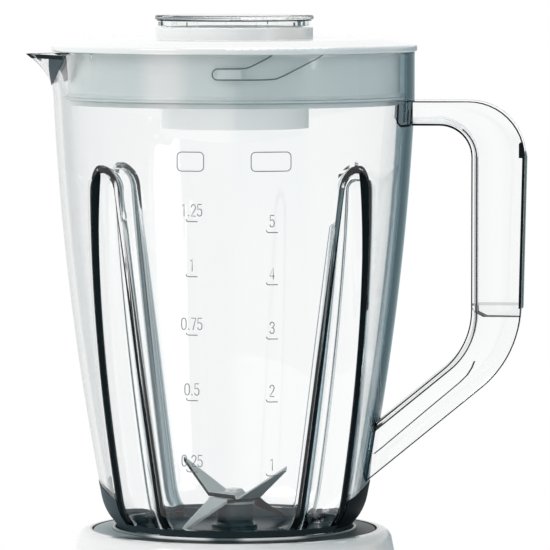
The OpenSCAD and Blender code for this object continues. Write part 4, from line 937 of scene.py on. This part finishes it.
# Painted light and shade: the skirt's shade and glint, shade on the slab's edge to the right, and a glow
# painted on the filler neck, brighter on the left.
skirt = z.smooth(seat + SKIRT_TOP, seat + SKIRT_TOP - 0.0004) * radius.smooth(SKIRT_R, SKIRT_R + 0.002)
edge = radius.smooth(SLAB_R, SLAB_R + 0.0008) * x.smooth(-0.01, 0.06)
neck = z.smooth(seat + NECK_TOP, seat + NECK_TOP - 0.001) * (1 - radius.smooth(SKIRT_R, SKIRT_R + 0.002))
shade = skirt.mix(edge.mix(GLOSS_WHITE, SLAB_EDGE_SHADE), skirt_shade(flow, x))
lit = neck.mix((0, 0, 0), x.smooth(-0.02, 0.07).mix(NECK_GLOW_LEFT, NECK_GLOW_RIGHT))
fine = noise(flow, on_piece(flow), 900, 4, 0.6)
link(shader, Base_Color=shade, Emission_Color=lit, Emission_Strength=1.0, Roughness=0.16 + 0.04 * fine,
     Coat_Weight=0.4, Coat_Roughness=0.08, Normal=bump(flow, fine, 0.00001))
lid = bpy.data.objects.new("lid_moulding", nodes["lid"].data.copy())
bpy.context.scene.collection.objects.link(lid)
FLANGE_LOW, FLANGE_HIGH, FLANGE_DROP = 168, 168.6, 0.7
slab_rises = ((183, 0), (187.4, 0.8), (190.2, 0.8), (192.2, 1.2), (197.9, 0))
for vertex in lid.data.vertices:
    v = (vertex.co.z - seat) / MM
    rise = -FLANGE_DROP if FLANGE_LOW < v < FLANGE_HIGH else 0
    for (low, first), (high, last) in zip(slab_rises, slab_rises[1:]):
        if low < v <= high:
            rise = first + (last - first) * (v - low) / (high - low)
    vertex.co.z += rise * MM
lid.data.materials.clear()
lid.data.materials.append(material)
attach(lid, "lid")
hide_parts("lid")
material, flow, shader = blank("pale_silicone")
x, y, z, radius = parts_of(flow)
# Painted shade: a darker line along the seal's bottom, under the skirt's painted shade.
below = z.smooth(seat + SEAL_SHADE_LINE_TOP, seat + SEAL_SHADE_LINE_TOP - 0.0003)
fine = noise(flow, on_piece(flow), 800, 3)
link(shader, Base_Color=below.mix(skirt_shade(flow, x), SEAL_SHADE_LINE), Roughness=0.3 + 0.1 * fine,
     Normal=bump(flow, fine, 0.00002))
dress(["lid_seal"], material)

# Measuring cap: a clear cup that hangs in the filler neck by its disc. A thin dark ring of painted shadow
# runs round under the disc's edge, where a fine step is.
# Painted shade: the cap's plastic greys a little towards its edges.
cap_clear = clear_plastic("clear_cap_plastic", face_on=(0.95, 0.97, 0.965), painted_edge_shade=(0.72, 0.78, 0.78),
                          index=1.18)
dress(["measuring_cap"], cap_clear)
cap_step_shadow = ring("cap_step_shadow", radius=30.2, thick=0.2, height=200.4, sides=6)
cap_step_shadow.data.materials.append(painted_dark_edge)
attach(cap_step_shadow, "cap")


# Studio: a pale floor that fades into white round the object, a white surround that clear
# plastic and gloss also show, three soft lamps, and the camera.
def ray(flow, kind):
    """A fact of the light ray: 1 or 0 for its kind, or how often it was mirrored or bent."""
    return flow.node("LightPath", out=kind)


def shows_ground(flow):
    """1 for the camera's rays and for those that gloss and clear plastic send on."""
    kinds = ray(flow, "Is Camera Ray") + ray(flow, "Is Glossy Ray") + ray(flow, "Is Transmission Ray")
    return flow.maths("MINIMUM", kinds, 1.0)


bpy.ops.object.select_all(action="DESELECT")
bpy.ops.mesh.primitive_circle_add(vertices=96, radius=0.62, fill_type="NGON")
floor = bpy.context.object
floor.name = "floor"
material, flow, shader = blank("floor_white")
away = flow.node("VectorMath", {"operation": "LENGTH"}, {0: on_piece(flow)}, "Value")
link(shader, Base_Color=(0.86, 0.865, 0.87, 1), Roughness=0.6)
glow = flow.node("Emission", None, {"Color": (1, 1, 1, 1), "Strength": 1.0})
plain = Flow(flow.tree, shader.outputs[0])
blended = flow.node("MixShader", None, {0: away.smooth(0.25, 0.6) * shows_ground(flow), 1: plain, 2: glow})
link(flow.tree.nodes["Material Output"], Surface=blended)
floor.data.materials.append(material)

WHITE, DARK_CARD, GREY_CARD = (1, 1, 1), (0.07, 0.13, 0.155), (0.30, 0.40, 0.43)
world = bpy.data.worlds.new("surround")
bpy.context.scene.world = world
world.use_nodes = True
flow = Flow(world.node_tree)
toward = flow.node("TexCoord", out="Generated")
right, up = (flow.node("SeparateXYZ", None, {0: toward}, axis) for axis in "XZ")
mirrored = flow.maths("GREATER_THAN", ray(flow, "Glossy Depth"), 0.5)
inside = mirrored * flow.maths("GREATER_THAN", ray(flow, "Transmission Depth"), 0.5)
dark = (inside * right.smooth(-0.12, 0.25)).mix(WHITE, DARK_CARD)
level = flow.maths("ABSOLUTE", up + 0.05).smooth(0.22, 0.12)
outside = (mirrored - inside) * level * right.smooth(0.02, 0.12) * right.smooth(0.85, 0.7)
light = 0.85 - 0.6 * right.smooth(-0.9, 0.9)  # the lighting falls off to the right
link(world.node_tree.nodes["Background"], Color=outside.mix(dark, GREY_CARD),
     Strength=light + (1 - light) * shows_ground(flow))


def soft_lamp(name, place, aim, size, power):
    """A round area lamp at a place, turned towards its aim."""
    lamp = bpy.data.lights.new(name, "AREA")
    lamp.shape, lamp.size, lamp.energy = "DISK", size, power
    made = bpy.data.objects.new(name, lamp)
    bpy.context.scene.collection.objects.link(made)
    made.location = place
    made.rotation_euler = (Vector(aim) - Vector(place)).to_track_quat("-Z", "Y").to_euler()


LAMP_AIM = (0, 0, 0.2)
soft_lamp("key_lamp", (-1.1, -1.0, 1.3), LAMP_AIM, size=0.8, power=11)
soft_lamp("fill_lamp", (1.3, -0.9, 0.7), LAMP_AIM, size=0.9, power=4)
soft_lamp("top_lamp", (0.1, 0.5, 1.6), LAMP_AIM, size=0.9, power=8)

CAMERA_FAR, CAMERA_HIGH, AIM_SIDE, AIM_HIGH = 2.1, 0.368, 0.016, 0.232
camera = bpy.data.cameras.new("camera")
camera.lens, camera.sensor_width = 349.5, 36
viewer = bpy.data.objects.new("camera", camera)
bpy.context.scene.collection.objects.link(viewer)
bpy.context.scene.camera = viewer
viewer.location = (CAMERA_FAR * math.sin(FACING), -CAMERA_FAR * math.cos(FACING), CAMERA_HIGH)
aim = Vector((AIM_SIDE * math.cos(FACING), AIM_SIDE * math.sin(FACING), AIM_HIGH))
viewer.rotation_euler = (aim - viewer.location).to_track_quat("-Z", "Y").to_euler()
bpy.context.scene.view_settings.view_transform = "Standard"

bpy.context.view_layer.update()
